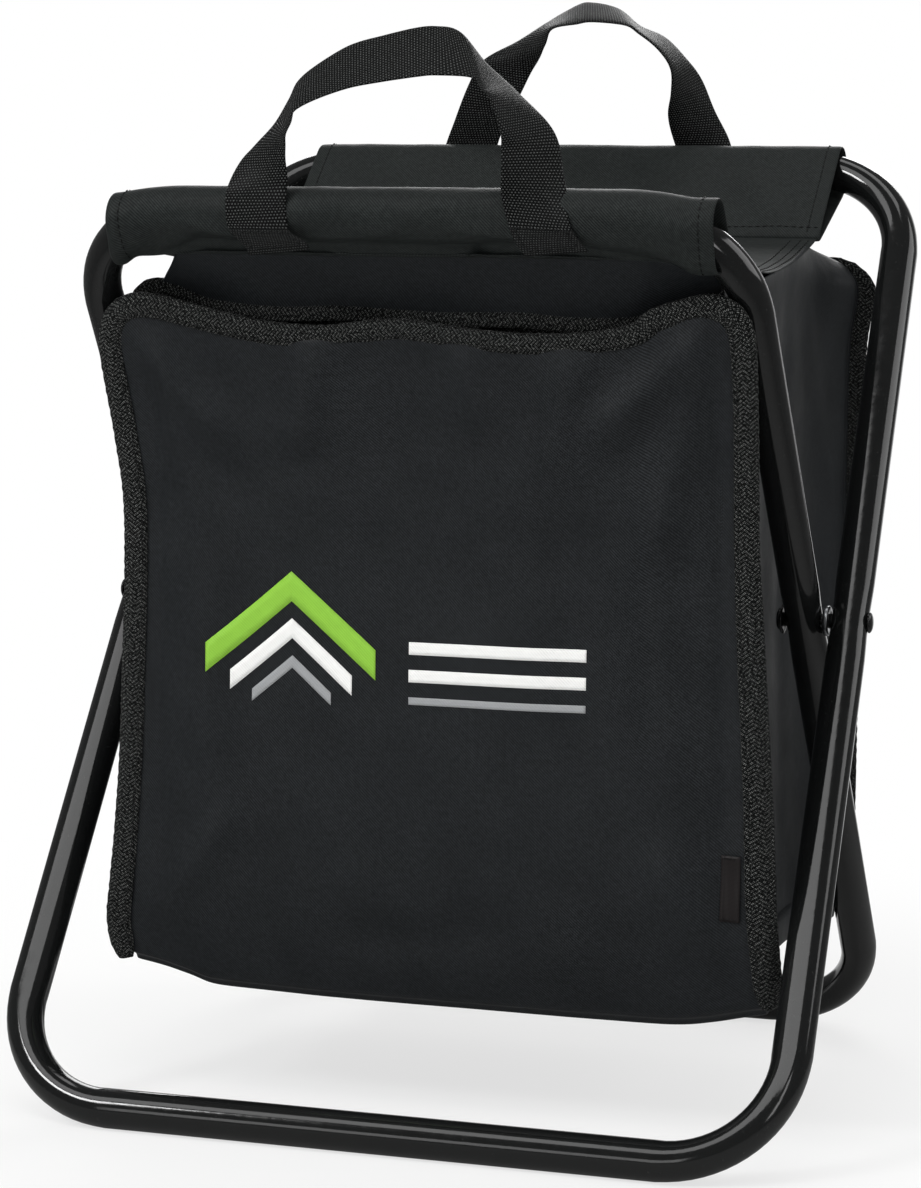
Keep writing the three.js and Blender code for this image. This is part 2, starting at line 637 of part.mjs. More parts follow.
// Wipe-clean liner: an open tub inside the walls
const linerBack = bagBack - paddingThickness - seamGap;
const linerHalf = wallHalf - seamGap;
const linerLow = bagBottom + paddingThickness + fabricThickness + bottomRise + seamGap + linerThickness;
const linerFront = wallFace(linerLow) + paddingThickness + 2 * seamGap;
function tub(inset, high) {
  const outline = blockOutline(linerHalf - inset, linerLow + inset, high, panelCorner - inset);
  return toSolid(extrudeBack(outline, linerFront + inset, linerBack - inset));
}
const liner = tub(0, wallTop).subtract(tub(linerThickness, wallTop + overrun));
addPiece(model, 'cooler_liner', toGeometry(liner), lining);

// Carry handles: sewn tabs on the outside of each sleeve and a webbing loop that stands above them
const strapReach = sleeveOuter + runningGap + webbingThickness / 2;

// A tab's run in (y, z): down past the bar, round the sleeve, then straight on
function tabRun(bar, facing, arcAngle, hang) {
  const run = [new THREE.Vector2(bar.x + facing * strapReach, bar.y + handleFootHeight)];
  const arcShares = [0, 0.25, 0.5, 0.75, 1];
  for (const share of arcShares) {
    const angle = share * arcAngle;
    const low = bar.y - hang - strapReach * Math.sin(angle);
    run.push(new THREE.Vector2(bar.x + facing * strapReach * Math.cos(angle), low));
  }
  const straight = tabLength - handleFootHeight - hang - strapReach * arcAngle;
  const along = new THREE.Vector2(-facing * Math.sin(arcAngle), -Math.cos(arcAngle));
  run.push(run[run.length - 1].clone().addScaledVector(along, straight));
  return run;
}

// The loop's middle line and turn: shares of the half span, of the rise and of a quarter turn
const loopShares = [
  [-1, 0, 0], [-0.98, 0.2, 0], [-0.94, 0.38, 0.15],
  [-0.84, 0.6, 0.45], [-0.62, 0.8, 0.4], [-0.32, 0.95, 0.15],
  [0, 1, 0], [0.28, 0.95, 0], [0.52, 0.8, 0.1], [0.74, 0.58, 0.1], [0.9, 0.36, 0], [0.97, 0.16, 0], [1, 0, 0],
];
const loopEndShare = 0.1;

function handleLoop(half, rise) {
  const points = loopShares.map(([across, up]) => new THREE.Vector3(across * half, 0, up * rise));
  const curve = new THREE.CatmullRomCurve3(points, false, 'centripetal');
  const unitLength = 1;
  const geometry = new THREE.BoxGeometry(
    webbingWidth, webbingThickness, unitLength, bandColumns, 1, loopSteps,
  );
  const position = geometry.attributes.position;
  for (let index = 0; index < position.count; index += 1) {
    const share = THREE.MathUtils.clamp(position.getZ(index) + 0.5, 0, 1);
    const place = share * (loopShares.length - 1);
    const low = Math.min(Math.floor(place), loopShares.length - 2);
    const lean = THREE.MathUtils.lerp(loopShares[low][2], loopShares[low + 1][2], place - low);
    const turn = lean * (Math.PI / 2);
    const middle = curve.getPoint(share);
    const along = curve.getTangent(share);
    const level = new THREE.Vector3(share < 0.5 ? 1 : -1, 0, 0);
    const blend = THREE.MathUtils.smoothstep(Math.min(share, 1 - share), 0, loopEndShare);
    const flat = level.lerp(new THREE.Vector3(along.z, 0, -along.x), blend).normalize();
    const across = flat.clone().multiplyScalar(Math.cos(turn)).add(new THREE.Vector3(0, Math.sin(turn), 0));
    const normal = new THREE.Vector3(0, Math.cos(turn), 0).addScaledVector(flat, -Math.sin(turn));
    middle.addScaledVector(across, position.getX(index)).addScaledVector(normal, position.getY(index));
    position.setXYZ(index, middle.x, middle.y, middle.z);
  }
  return geometry;
}

const tailAngle = Math.atan2(rearBar.x - seatTip.x, rearBar.y - seatTip.y);
const handles = [
  {
    name: 'front', bar: frontBar, facing: -1, half: frontHandleHalf,
    rise: frontHandleRise, arc: tiltFolded, hang: 0,
  },
  {
    name: 'rear', bar: rearBar, facing: 1, half: rearHandleHalf,
    rise: rearHandleRise, arc: tailAngle, hang: rearDrop,
  },
];
for (const { name, bar, facing, half, rise, arc, hang } of handles) {
  const tabShape = strip(tabRun(bar, facing, arc, hang), webbingThickness);
  for (const [side, sign] of sides) {
    const middle = sign * half;
    const tab = extrudeAcross(tabShape, middle - webbingWidth / 2, middle + webbingWidth / 2);
    addPiece(model, `${name}_handle_tab_${side}`, tab, webbing);
  }
  const loop = addPiece(model, `${name}_handle_loop`, handleLoop(half, rise), webbing);
  loop.position.set(0, bar.x + facing * strapReach, bar.y + handleFootHeight + handleHingeGap);
  loop.rotation.x = facing * THREE.MathUtils.degToRad(handleLeanDegrees);
}

export default model;
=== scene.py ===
# Folding cooler stool: a padded cooler bag hung in a folding frame of bent tube.
# All shapes are worked out in millimetres and turned to metres when a mesh is made.
import math

import bpy
import numpy as np
from mathutils import Matrix, Vector, noise


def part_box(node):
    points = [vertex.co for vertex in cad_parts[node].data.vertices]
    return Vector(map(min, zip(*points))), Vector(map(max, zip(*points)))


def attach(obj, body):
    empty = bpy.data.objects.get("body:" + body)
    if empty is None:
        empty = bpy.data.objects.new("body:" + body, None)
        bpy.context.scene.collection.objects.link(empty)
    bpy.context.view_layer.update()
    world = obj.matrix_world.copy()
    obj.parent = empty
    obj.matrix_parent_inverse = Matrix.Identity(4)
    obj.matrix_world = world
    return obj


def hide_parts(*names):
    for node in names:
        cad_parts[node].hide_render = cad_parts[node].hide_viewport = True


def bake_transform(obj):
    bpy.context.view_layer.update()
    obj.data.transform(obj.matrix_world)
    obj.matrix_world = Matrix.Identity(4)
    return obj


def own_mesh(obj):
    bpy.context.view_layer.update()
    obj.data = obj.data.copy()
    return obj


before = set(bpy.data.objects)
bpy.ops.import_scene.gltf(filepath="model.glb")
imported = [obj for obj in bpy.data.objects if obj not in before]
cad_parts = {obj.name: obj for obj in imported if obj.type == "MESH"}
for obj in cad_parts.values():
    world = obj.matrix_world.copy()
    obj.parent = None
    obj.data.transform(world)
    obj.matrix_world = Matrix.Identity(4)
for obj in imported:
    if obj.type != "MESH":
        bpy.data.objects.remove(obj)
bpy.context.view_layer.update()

mm = 0.001


def linearColour(hexCode):
    channels = [int(hexCode[place:place + 2], 16) / 255 for place in (1, 3, 5)]
    linear = [c / 12.92 if c <= 0.04045 else ((c + 0.055) / 1.055) ** 2.4 for c in channels]
    return (*linear, 1.0)


def runAlong(line):
    # Distance from the start of a line to each of its points
    return np.concatenate([[0], np.cumsum(np.linalg.norm(np.diff(line, axis=0), axis=1))])


def throughPoints(points, count):
    # A smooth line through the points, evenly spaced along its length
    points = np.array(points, float)
    ends = np.vstack([2 * points[0] - points[1], points, 2 * points[-1] - points[-2]])
    share = np.linspace(0, 1, 24, endpoint=False)[:, None]
    fine = []
    for place in range(len(points) - 1):
        before, start, end, after = ends[place:place + 4]
        bend = 2 * before - 5 * start + 4 * end - after
        twist = 3 * start - before - 3 * end + after
        fine.append(0.5 * (2 * start + (end - before) * share + bend * share ** 2 + twist * share ** 3))
    fine = np.vstack(fine + [points[-1:]])
    run = runAlong(fine)
    at = np.linspace(0, run[-1], count)
    return np.column_stack([np.interp(at, run, column) for column in fine.T])


def tableThrough(points):
    # The second number as a smooth function of the first
    line = throughPoints(sorted(points), 120)
    return lambda value: np.interp(value, line[:, 0], line[:, 1])


def smoothStep(value, low, high):
    share = np.clip((np.asarray(value, float) - low) / (high - low), 0, 1)
    return share * share * (3 - 2 * share)


def unit(vectors):
    vectors = np.asarray(vectors, float)
    return vectors / np.maximum(np.linalg.norm(vectors, axis=-1, keepdims=True), 1e-9)


def foldHeights(across, along, folds):
    # Soft ridges, each (across, along) at both ends, its width and its height
    height = np.zeros(np.broadcast(across, along).shape)
    for startAcross, startAlong, endAcross, endAlong, width, rise in folds:
        dx, dy = endAcross - startAcross, endAlong - startAlong
        length = math.hypot(dx, dy)
        share = ((across - startAcross) * dx + (along - startAlong) * dy) / length ** 2
        side = ((across - startAcross) * dy - (along - startAlong) * dx) / length
        taper = smoothStep(share, -0.25, 0.2) * (1 - smoothStep(share, 0.8, 1.25))
        height += rise * np.exp(-(side / width) ** 2) * taper
    return height


def unevenness(points, size, seed):
    # Smooth random field of the given bump size, from -1 to 1
    flat = np.asarray(points, float).reshape(-1, 3) / size
    values = [noise.noise(Vector((x + 17.3 * seed, y - 9.1 * seed, z))) for x, y, z in flat]
    return np.array(values).reshape(np.asarray(points).shape[:-1])


def slackIn(points, layers):
    # Slack cloth: smooth random fields added up, each (height, bump size, seed)
    return sum(height * unevenness(points, size, seed) for height, size, seed in layers)


def makeMesh(name, points, faces, corners, materials, faceMaterials=None):
    mesh = bpy.data.meshes.new(name)
    mesh.from_pydata([tuple(point) for point in np.asarray(points) * mm], [], faces)
    layer = mesh.uv_layers.new(name="weave")
    if corners is not None:
        layer.data.foreach_set("uv", np.asarray(corners, np.float32).ravel())
    for material in materials:
        mesh.materials.append(material)
    if faceMaterials is not None:
        mesh.polygons.foreach_set("material_index", faceMaterials)
    mesh.polygons.foreach_set("use_smooth", [True] * len(mesh.polygons))
    mesh.update()
    piece = bpy.data.objects.new(name, mesh)
    bpy.context.scene.collection.objects.link(piece)
    return piece


def stepsBetween(points, axis, closed):
    gaps = np.linalg.norm(np.diff(points, axis=axis), axis=2).mean(1 - axis)
    if closed:
        last = np.take(points, -1, axis=axis) - np.take(points, 0, axis=axis)
        gaps = np.append(gaps, np.linalg.norm(last, axis=1).mean())
    return np.concatenate([[0], np.cumsum(gaps)])


def gridMesh(name, points, material, outward=None, closedRows=False, closedColumns=False, caps=False):
    # points is rows x columns x 3. The weave layer holds millimetres along the columns and the rows
    rows, columns = points.shape[:2]
    u = stepsBetween(points, 1, closedColumns)
    v = stepsBetween(points, 0, closedRows)
    faces, corners = [], []
    for r in range(rows if closedRows else rows - 1):
        for c in range(columns if closedColumns else columns - 1):
            nextRow, nextColumn = (r + 1) % rows, (c + 1) % columns
            faces.append([r * columns + c, r * columns + nextColumn,
                          nextRow * columns + nextColumn, nextRow * columns + c])
            corners.append([(u[c], v[r]), (u[c + 1], v[r]), (u[c + 1], v[r + 1]), (u[c], v[r + 1])])
    flat = points.reshape(-1, 3)
    quads = flat[np.array(faces)]
    normals = np.cross(quads[:, 2] - quads[:, 0], quads[:, 3] - quads[:, 1])
    if outward is None:
        away = quads.mean(1) - np.repeat(points.mean(1), columns, 0)[np.array(faces)[:, 0]]
    else:
        away = np.tile(outward, (len(quads), 1))
    flipped = (normals * away).sum() < 0
    if caps:
        for row, turn in ((0, 1), (rows - 1, -1)):
            faces.append([row * columns + c for c in range(columns)][::-turn])
            corners.append([(u[c % columns], 0.0) for c in range(columns)][::-turn])
    if flipped:
        faces = [face[::-1] for face in faces]
        corners = [corner[::-1] for corner in corners]
    return makeMesh(name, flat, faces, [uv for corner in corners for uv in corner], [material])


def thicken(piece, thickness, offset=0.0):
    solid = piece.modifiers.new("cloth thickness", "SOLIDIFY")
    solid.thickness = thickness * mm
    solid.offset = offset
    solid.use_even_offset = True
    return piece


def soften(piece, levels=1):
    smooth = piece.modifiers.new("smooth", "SUBSURF")
    smooth.levels = levels
    smooth.render_levels = levels
    return piece


def joined(name, parts, materials):
    # parts are (points, faces, weave corners, material number)
    points, faces, corners, numbers = [], [], [], []
    for partPoints, partFaces, partCorners, number in parts:
        start = len(points)
        points.extend(partPoints)
        faces.extend([[start + place for place in face] for face in partFaces])
        corners.extend(partCorners)
        numbers.extend([number] * len(partFaces))
    return makeMesh(name, points, faces, corners, materials, numbers)


def turnedPart(profile, centre, axis, sides):
    # A body of revolution about a line along X: profile is (radius, distance along the line)
    points, faces = [], []
    for radius, along in profile:
        for side in range(sides):
            angle = 2 * math.pi * side / sides
            points.append((centre[0] + axis * along, centre[1] + radius * math.cos(angle),
                           centre[2] + radius * math.sin(angle)))
    for ring in range(0, (len(profile) - 1) * sides, sides):
        for side in range(sides):
            after = (side + 1) % sides
            face = [ring + side, ring + after, ring + sides + after, ring + sides + side]
            faces.append(face if axis > 0 else face[::-1])
    return points, faces, [(0.0, 0.0)] * (4 * len(faces)), 0


def stitchParts(line, pitch=3.2, length=2.1, radius=0.26):
    # Sewn thread lying on a line of points: a small six-sided bead, tapered at both ends, for each stitch
    line = np.asarray(line, float)
    run = runAlong(line)
    parts = []
    for stitch in range(int(run[-1] / pitch)):
        middle = (stitch + 0.5) * pitch
        at = [np.array([np.interp(middle + step * length / 2, run, line[:, k]) for k in range(3)])
              for step in (-1, -0.6, 0.6, 1)]
        along = unit(at[3] - at[0])
        side = unit(np.cross(along, (0.3, 0.5, 0.8)))
        other = np.cross(along, side)
        points, faces = [], []
        for ring, size in enumerate((0.35, 1, 1, 0.35)):
            for corner in range(6):
                angle = math.pi * corner / 3
                points.append(at[ring] + radius * size * (side * math.cos(angle) + other * math.sin(angle)))
        for ring in (0, 6, 12):
            for corner in range(6):
                after = (corner + 1) % 6
                faces.append([ring + corner, ring + after, ring + 6 + after, ring + 6 + corner])
        faces += [[5, 4, 3, 2, 1, 0], [18, 19, 20, 21, 22, 23]]
        parts.append((points, faces, [(0.0, 0.0)] * sum(len(face) for face in faces), 0))
    return parts


def hullRound(circles, start, towards, count):
    # Cloth pulled round some circles (across, up, radius): a closed line from the point nearest start
    turn = np.linspace(0, 2 * math.pi, 48, endpoint=False)
    cloud = []
    for across, up, radius in circles:
        cloud.extend(zip(across + radius * np.cos(turn), up + radius * np.sin(turn)))
    cloud.sort()

    def chain(points):
        hull = []
        for point in points:
            while len(hull) > 1:
                (ax, ay), (bx, by) = hull[-2], hull[-1]
                if (bx - ax) * (point[1] - ay) - (by - ay) * (point[0] - ax) > 0:
                    break
                hull.pop()
            hull.append(point)
        return hull[:-1]

    hull = np.array(chain(cloud) + chain(cloud[::-1]))
    first = np.argmin(np.linalg.norm(hull - np.array(start), axis=1))
    hull = np.roll(hull, -first, axis=0)
    closed = np.vstack([hull, hull[:1]])
    run = runAlong(closed)
    at = np.linspace(0, run[-1], count, endpoint=False)
    line = np.column_stack([np.interp(at, run, closed[:, 0]), np.interp(at, run, closed[:, 1])])
    ahead = line[count // 8] - line[0]
    if np.dot(ahead, towards) < 0:
        line = np.roll(line[::-1], 1, axis=0)
    return line


def gridNormals(points, closedColumns=False):
    down = np.gradient(points, axis=0)
    if closedColumns:
        across = np.roll(points, -1, 1) - np.roll(points, 1, 1)
    else:
        across = np.gradient(points, axis=1)
    return unit(np.cross(across, down))


def finishPiece(piece, body, slotName, *nodes):
    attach(piece, body)
    if nodes:
        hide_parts(*nodes)
    return piece


def clothPiece(name, points, material, thickness, body, node, slotName="polyester", offset=-1.0, **shape):
    # A sheet of cloth with a thickness, smoothed and put on its body
    piece = gridMesh(name, points, material, **shape)
    soften(thicken(piece, thickness, offset))
    return finishPiece(piece, body, slotName, *node.split())


def thinPiece(name, points, material, thickness, body, node, slotName, **shape):
    # The same without smoothing, for flat tapes, labels and film
    piece = thicken(gridMesh(name, points, material, **shape), thickness, -1.0)
    return finishPiece(piece, body, slotName, node)


def sewPiece(name, lines, body, slotName="polyester", **sizes):
    # Rows of stitches along some lines, as one piece
    parts = [part for line in lines for part in stitchParts(line, **sizes)]
    return finishPiece(joined(name, parts, [threadMaterial]), body, slotName)


def drawIn(piece):
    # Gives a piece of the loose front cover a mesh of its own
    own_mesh(piece)


def addNode(tree, kind, inputs=None, **settings):
    node = tree.nodes.new(kind)
    for setting, value in settings.items():
        setattr(node, setting, value)
    for socket, value in (inputs or {}).items():
        if isinstance(value, bpy.types.NodeSocket):
            tree.links.new(value, node.inputs[socket])
        else:
            node.inputs[socket].default_value = value
    return node


def product(tree, first, second):
    return addNode(tree, "ShaderNodeMath", {0: first, 1: second}, operation="MULTIPLY").outputs[0]


def spread(tree, value, fromRange, toRange, **settings):
    # Takes a value from one range to another
    return addNode(tree, "ShaderNodeMapRange", {
        "Value": value, "From Min": fromRange[0], "From Max": fromRange[1], "To Min": toRange[0],
        "To Max": toRange[1]}, **settings).outputs["Result"]


def mottle(tree, place, size, detail, roughness=0.5):
    # Smooth random patches of a size in millimetres
    return addNode(tree, "ShaderNodeTexNoise", {
        "Vector": place, "Scale": 1 / size, "Detail": detail, "Roughness": roughness}).outputs["Fac"]


def bands(tree, place, direction, pitch, **inputs):
    # Parallel ribs, pitch millimetres apart: the wave texture runs at 0.314 a millimetre, or 0.444 slantwise
    inputs = {name.replace("_", " "): value for name, value in inputs.items()}
    inputs.update({"Vector": place, "Scale": (0.444 if direction == "DIAGONAL" else 0.314) / pitch})
    wave = addNode(tree, "ShaderNodeTexWave", inputs, wave_type="BANDS", bands_direction=direction)
    return wave.outputs["Fac"]


def bricks(tree, place, width, height, gap):
    # Staggered rows of short floats, 0 on a float and 1 in the gap, as in a plain woven strap
    return addNode(tree, "ShaderNodeTexBrick", {
        "Vector": place, "Scale": 1.0, "Brick Width": width, "Row Height": height, "Mortar Size": gap,
        "Mortar Smooth": 1.0}, offset=0.5).outputs["Fac"]


def colourBetween(tree, shader, share, first, second):
    mixed = addNode(tree, "ShaderNodeMix", {0: share, 6: linearColour(first), 7: linearColour(second)},
                    data_type="RGBA")
    tree.links.new(mixed.outputs[2], shader.inputs["Base Color"])


def relief(tree, shader, height, strength, depth, under=None):
    # depth is in millimetres, and under is a coarser relief that this one lies on
    inputs = {"Height": height, "Strength": strength, "Distance": depth * mm}
    if under is not None:
        inputs["Normal"] = under
    normal = addNode(tree, "ShaderNodeBump", inputs).outputs["Normal"]
    tree.links.new(normal, shader.inputs["Normal"])
    return normal


def startMaterial(name, values):
    material = bpy.data.materials.new(name)
    material.use_nodes = True
    shader = material.node_tree.nodes["Principled BSDF"]
    for socket, value in values.items():
        shader.inputs[socket].default_value = value
    return material, material.node_tree, shader


def weaveMillimetres(tree):
    return addNode(tree, "ShaderNodeUVMap", uv_map="weave").outputs["UV"]


def solidMillimetres(tree):
    place = addNode(tree, "ShaderNodeTexCoord").outputs["Object"]
    return addNode(tree, "ShaderNodeVectorMath", {0: place, "Scale": 1000.0}, operation="SCALE").outputs[0]


ribPitch = 0.9   # real twill ribs are 0.5 mm apart, and these are drawn wider so that they show


def makeTwill(name, dark, light, roughness, gleam):
    # 600D polyester twill with a PU coating, woven: slanting ribs, a soft sheen and slack, uneven cloth
    material, tree, shader = startMaterial(name, {
        "Specular IOR Level": gleam, "Sheen Weight": 0.02, "Sheen Roughness": 0.4})
    place = weaveMillimetres(tree)
    ribs = bands(tree, place, "DIAGONAL", ribPitch, Distortion=0.6, Detail=1.0, Detail_Scale=0.4)
    thread = bands(tree, place, "X", ribPitch / 1.6, Distortion=0.3)
    cloth = addNode(tree, "ShaderNodeMix", {0: 0.3, 2: ribs, 3: thread}, data_type="FLOAT").outputs[0]
    slack = mottle(tree, place, 26, 3.0, 0.55)
    tone = product(tree, cloth, mottle(tree, place, 2.2, 4.0, 0.7))
    shade = addNode(tree, "ShaderNodeMath", {0: tone, 1: slack, 2: tone}, operation="MULTIPLY_ADD").outputs[0]
    colourBetween(tree, shader, shade, dark, light)
    tree.links.new(spread(tree, slack, (0.3, 0.7), (roughness - 0.06, roughness + 0.06)),
                   shader.inputs["Roughness"])
    waves = relief(tree, shader, slack, 0.35, 2.0)
    relief(tree, shader, cloth, 0.5, 0.09, waves)
    return material


def makeWebbing(name, pitch, pale, dark):
    # Polypropylene webbing, woven: staggered floats in rows across the strap. The floats are painted pale as
    # a highlight, and the gaps are dark with painted shade
    material, tree, shader = startMaterial(name, {
        "Roughness": 0.5, "Specular IOR Level": 0.08, "Sheen Weight": 0.01})
    place = weaveMillimetres(tree)
    floats = bricks(tree, place, 1.15 * pitch, pitch, 0.46 * pitch)
    raised = spread(tree, floats, (0.0, 0.6), (1.0, 0.0), interpolation_type="SMOOTHSTEP")
    # Painted light: the pale colour is a painted highlight on each float, and the dark colour is the strap's
    # black with painted shade in the gaps
    colourBetween(tree, shader, product(tree, raised, mottle(tree, place, 1.6, 3.0)), dark, pale)
    relief(tree, shader, raised, 0.8, 0.35)
    return material


def makeTape():
    # Polyester herringbone tape, woven: slanting specks that turn at each band, matt. The specks are painted
    # pale as highlights on the raised floats, stronger in random flecks, with painted shade in the gaps
    material, tree, shader = startMaterial("polyester herringbone tape", {
        "Roughness": 0.66, "Specular IOR Level": 0.05, "Sheen Weight": 0.01})
    place = addNode(tree, "ShaderNodeSeparateXYZ", {0: weaveMillimetres(tree)}).outputs
    zigzag = addNode(tree, "ShaderNodeMath", {0: place["X"], 1: 2.6}, operation="PINGPONG").outputs[0]
    slant = addNode(tree, "ShaderNodeMath", {0: zigzag, 1: 0.8, 2: place["Y"]}, operation="MULTIPLY_ADD")
    skewed = addNode(tree, "ShaderNodeCombineXYZ", {"X": place["X"], "Y": slant.outputs[0]}).outputs[0]
    raised = spread(tree, bricks(tree, skewed, 1.05, 0.8, 0.3), (0.0, 0.42), (1.0, 0.0))
    # Painted highlight: the raised floats are painted pale, more strongly in random flecks, over the tape's
    # black with painted shade in the gaps
    pale = spread(tree, mottle(tree, skewed, 1.1, 2.0), (0.4, 0.68), (0.03, 0.85))
    colourBetween(tree, shader, product(tree, raised, pale), "#090a0a", "#8a8c8a")
    relief(tree, shader, raised, 0.7, 0.3)
    return material


def makeEnamel(name, colour, roughness):
    # Black enamel, sprayed on steel and baked: mirror-like, with a faint orange peel and a little dust
    material, tree, shader = startMaterial(name, {"Specular IOR Level": 0.5})
    place = solidMillimetres(tree)
    peel = mottle(tree, place, 5, 2.0)
    dust = spread(tree, mottle(tree, place, 0.9, 3.0), (0.66, 0.74), (0.0, 0.35))
    colourBetween(tree, shader, dust, colour, "#4a4a48")
    tree.links.new(spread(tree, peel, (0.3, 0.7), (roughness * 0.7, roughness * 1.4)),
                   shader.inputs["Roughness"])
    relief(tree, shader, peel, 0.25, 0.12)
    return material


def makeZinc():
    # Zinc-plated steel, stamped: grey metal with a fine dull mottle
    material, tree, shader = startMaterial("zinc plated steel", {"Metallic": 1.0})
    grain = mottle(tree, solidMillimetres(tree), 1.5, 4.0)
    tree.links.new(spread(tree, grain, (0.0, 1.0), (0.18, 0.45)), shader.inputs["Roughness"])
    colourBetween(tree, shader, grain, "#747678", "#a4a6a8")
    return material


def makeFoil():
    # Aluminised PEVA liner film, laminated: soft silver with fine creases
    material, tree, shader = startMaterial("aluminised PEVA film", {"Metallic": 0.85, "Roughness": 0.34})
    place = solidMillimetres(tree)
    creases = addNode(tree, "ShaderNodeTexVoronoi", {"Vector": place, "Scale": 1 / 14},
                      feature="DISTANCE_TO_EDGE").outputs["Distance"]
    grain = mottle(tree, place, 7, 4.0)
    relief(tree, shader, product(tree, creases, grain), 0.6, 1.2)
    colourBetween(tree, shader, grain, "#8d9093", "#b9bcbf")
    return material


def makeNylon(name, colour, roughness):
    # Nylon, moulded or drawn: near-black with a satin gleam and a fine grain
    material, tree, shader = startMaterial(name, {
        "Base Color": linearColour(colour), "Specular IOR Level": 0.2})
    grain = mottle(tree, solidMillimetres(tree), 0.8, 3.0)
    tree.links.new(spread(tree, grain, (0.0, 1.0), (roughness - 0.1, roughness + 0.12)),
                   shader.inputs["Roughness"])
    relief(tree, shader, grain, 0.2, 0.05)
    return material


def makeInk(name, colour, worn):
    # Screen ink, printed on the twill: flat colour over which the ribs of the cloth still show
    material, tree, shader = startMaterial(name, {"Roughness": 0.55, "Specular IOR Level": 0.3})
    place = weaveMillimetres(tree)
    ribs = bands(tree, place, "DIAGONAL", ribPitch, Distortion=0.6)
    thin = product(tree, ribs, mottle(tree, place, 3.5, 5.0))
    colourBetween(tree, shader, spread(tree, thin, (0.2, 0.75), (0.0, 0.45)), colour, worn)
    relief(tree, shader, ribs, 0.4, 0.08)
    return material


def makeSatin():
    # Polyester satin label, woven: close ribs with a silky gleam
    material, tree, shader = startMaterial("polyester satin", {"Roughness": 0.42, "Specular IOR Level": 0.2})
    ribs = bands(tree, weaveMillimetres(tree), "Y", 0.5)
    colourBetween(tree, shader, ribs, "#121010", "#262222")
    relief(tree, shader, ribs, 0.4, 0.06)
    return material


twill = makeTwill("coated polyester twill", "#0a0c0d", "#313437", 0.47, 0.15)
slingTwill = makeTwill("coated polyester sling twill", "#0d0f0f", "#363a39", 0.52, 0.07)
# The pale colours of both webbings are painted highlights on the thread floats, dimmer on the ends sewn flat
webbing = makeWebbing("polypropylene webbing", 1.15, "#6a6c6b", "#060707")
webbingEnd = makeWebbing("polypropylene webbing, sewn flat", 0.95, "#525453", "#101111")
tape = makeTape()
enamel = makeEnamel("black baked enamel", "#131414", 0.1)
rivetEnamel = makeEnamel("black rivet enamel", "#111112", 0.22)
zinc = makeZinc()
foil = makeFoil()
zipNylon = makeNylon("nylon zip coil", "#161718", 0.42)
sliderEnamel = makeEnamel("black zip slider enamel", "#1a1b1c", 0.28)
threadMaterial = makeNylon("bonded nylon thread", "#121313", 0.5)
label = makeSatin()
inks = [makeInk("lime screen ink", "#8ec63f", "#6f9c30"), makeInk("white screen ink", "#f2f2f0", "#c9cac8"),
        makeInk("grey screen ink", "#9a9c9e", "#7d7f81")]
print("materials made")


# The two hoops of bent tube: the outer one stands on its front bar, the inner one on its rear bar
hoopSizes = {
    "radius": 8.0, "sides": 32, "pivotHeight": 201.0, "floorBarHeight": 8.0, "tilt": math.atan2(132.093, 185),
    "bendSteps": 18, "bendFlat": 0.93, "pivotFlat": 0.94, "pivotReach": 15.0, "firstStop": 20,
    "lastStop": 5, "stopPitch": 24,
    "outer": {"halfTop": 152, "halfBottom": 160, "barHeight": 386, "corner": 46, "lean": 1,
              "pivotHalf": 155.9},
    "inner": {"halfTop": 133, "halfBottom": 142, "barHeight": 364, "corner": 44, "lean": -1},
}


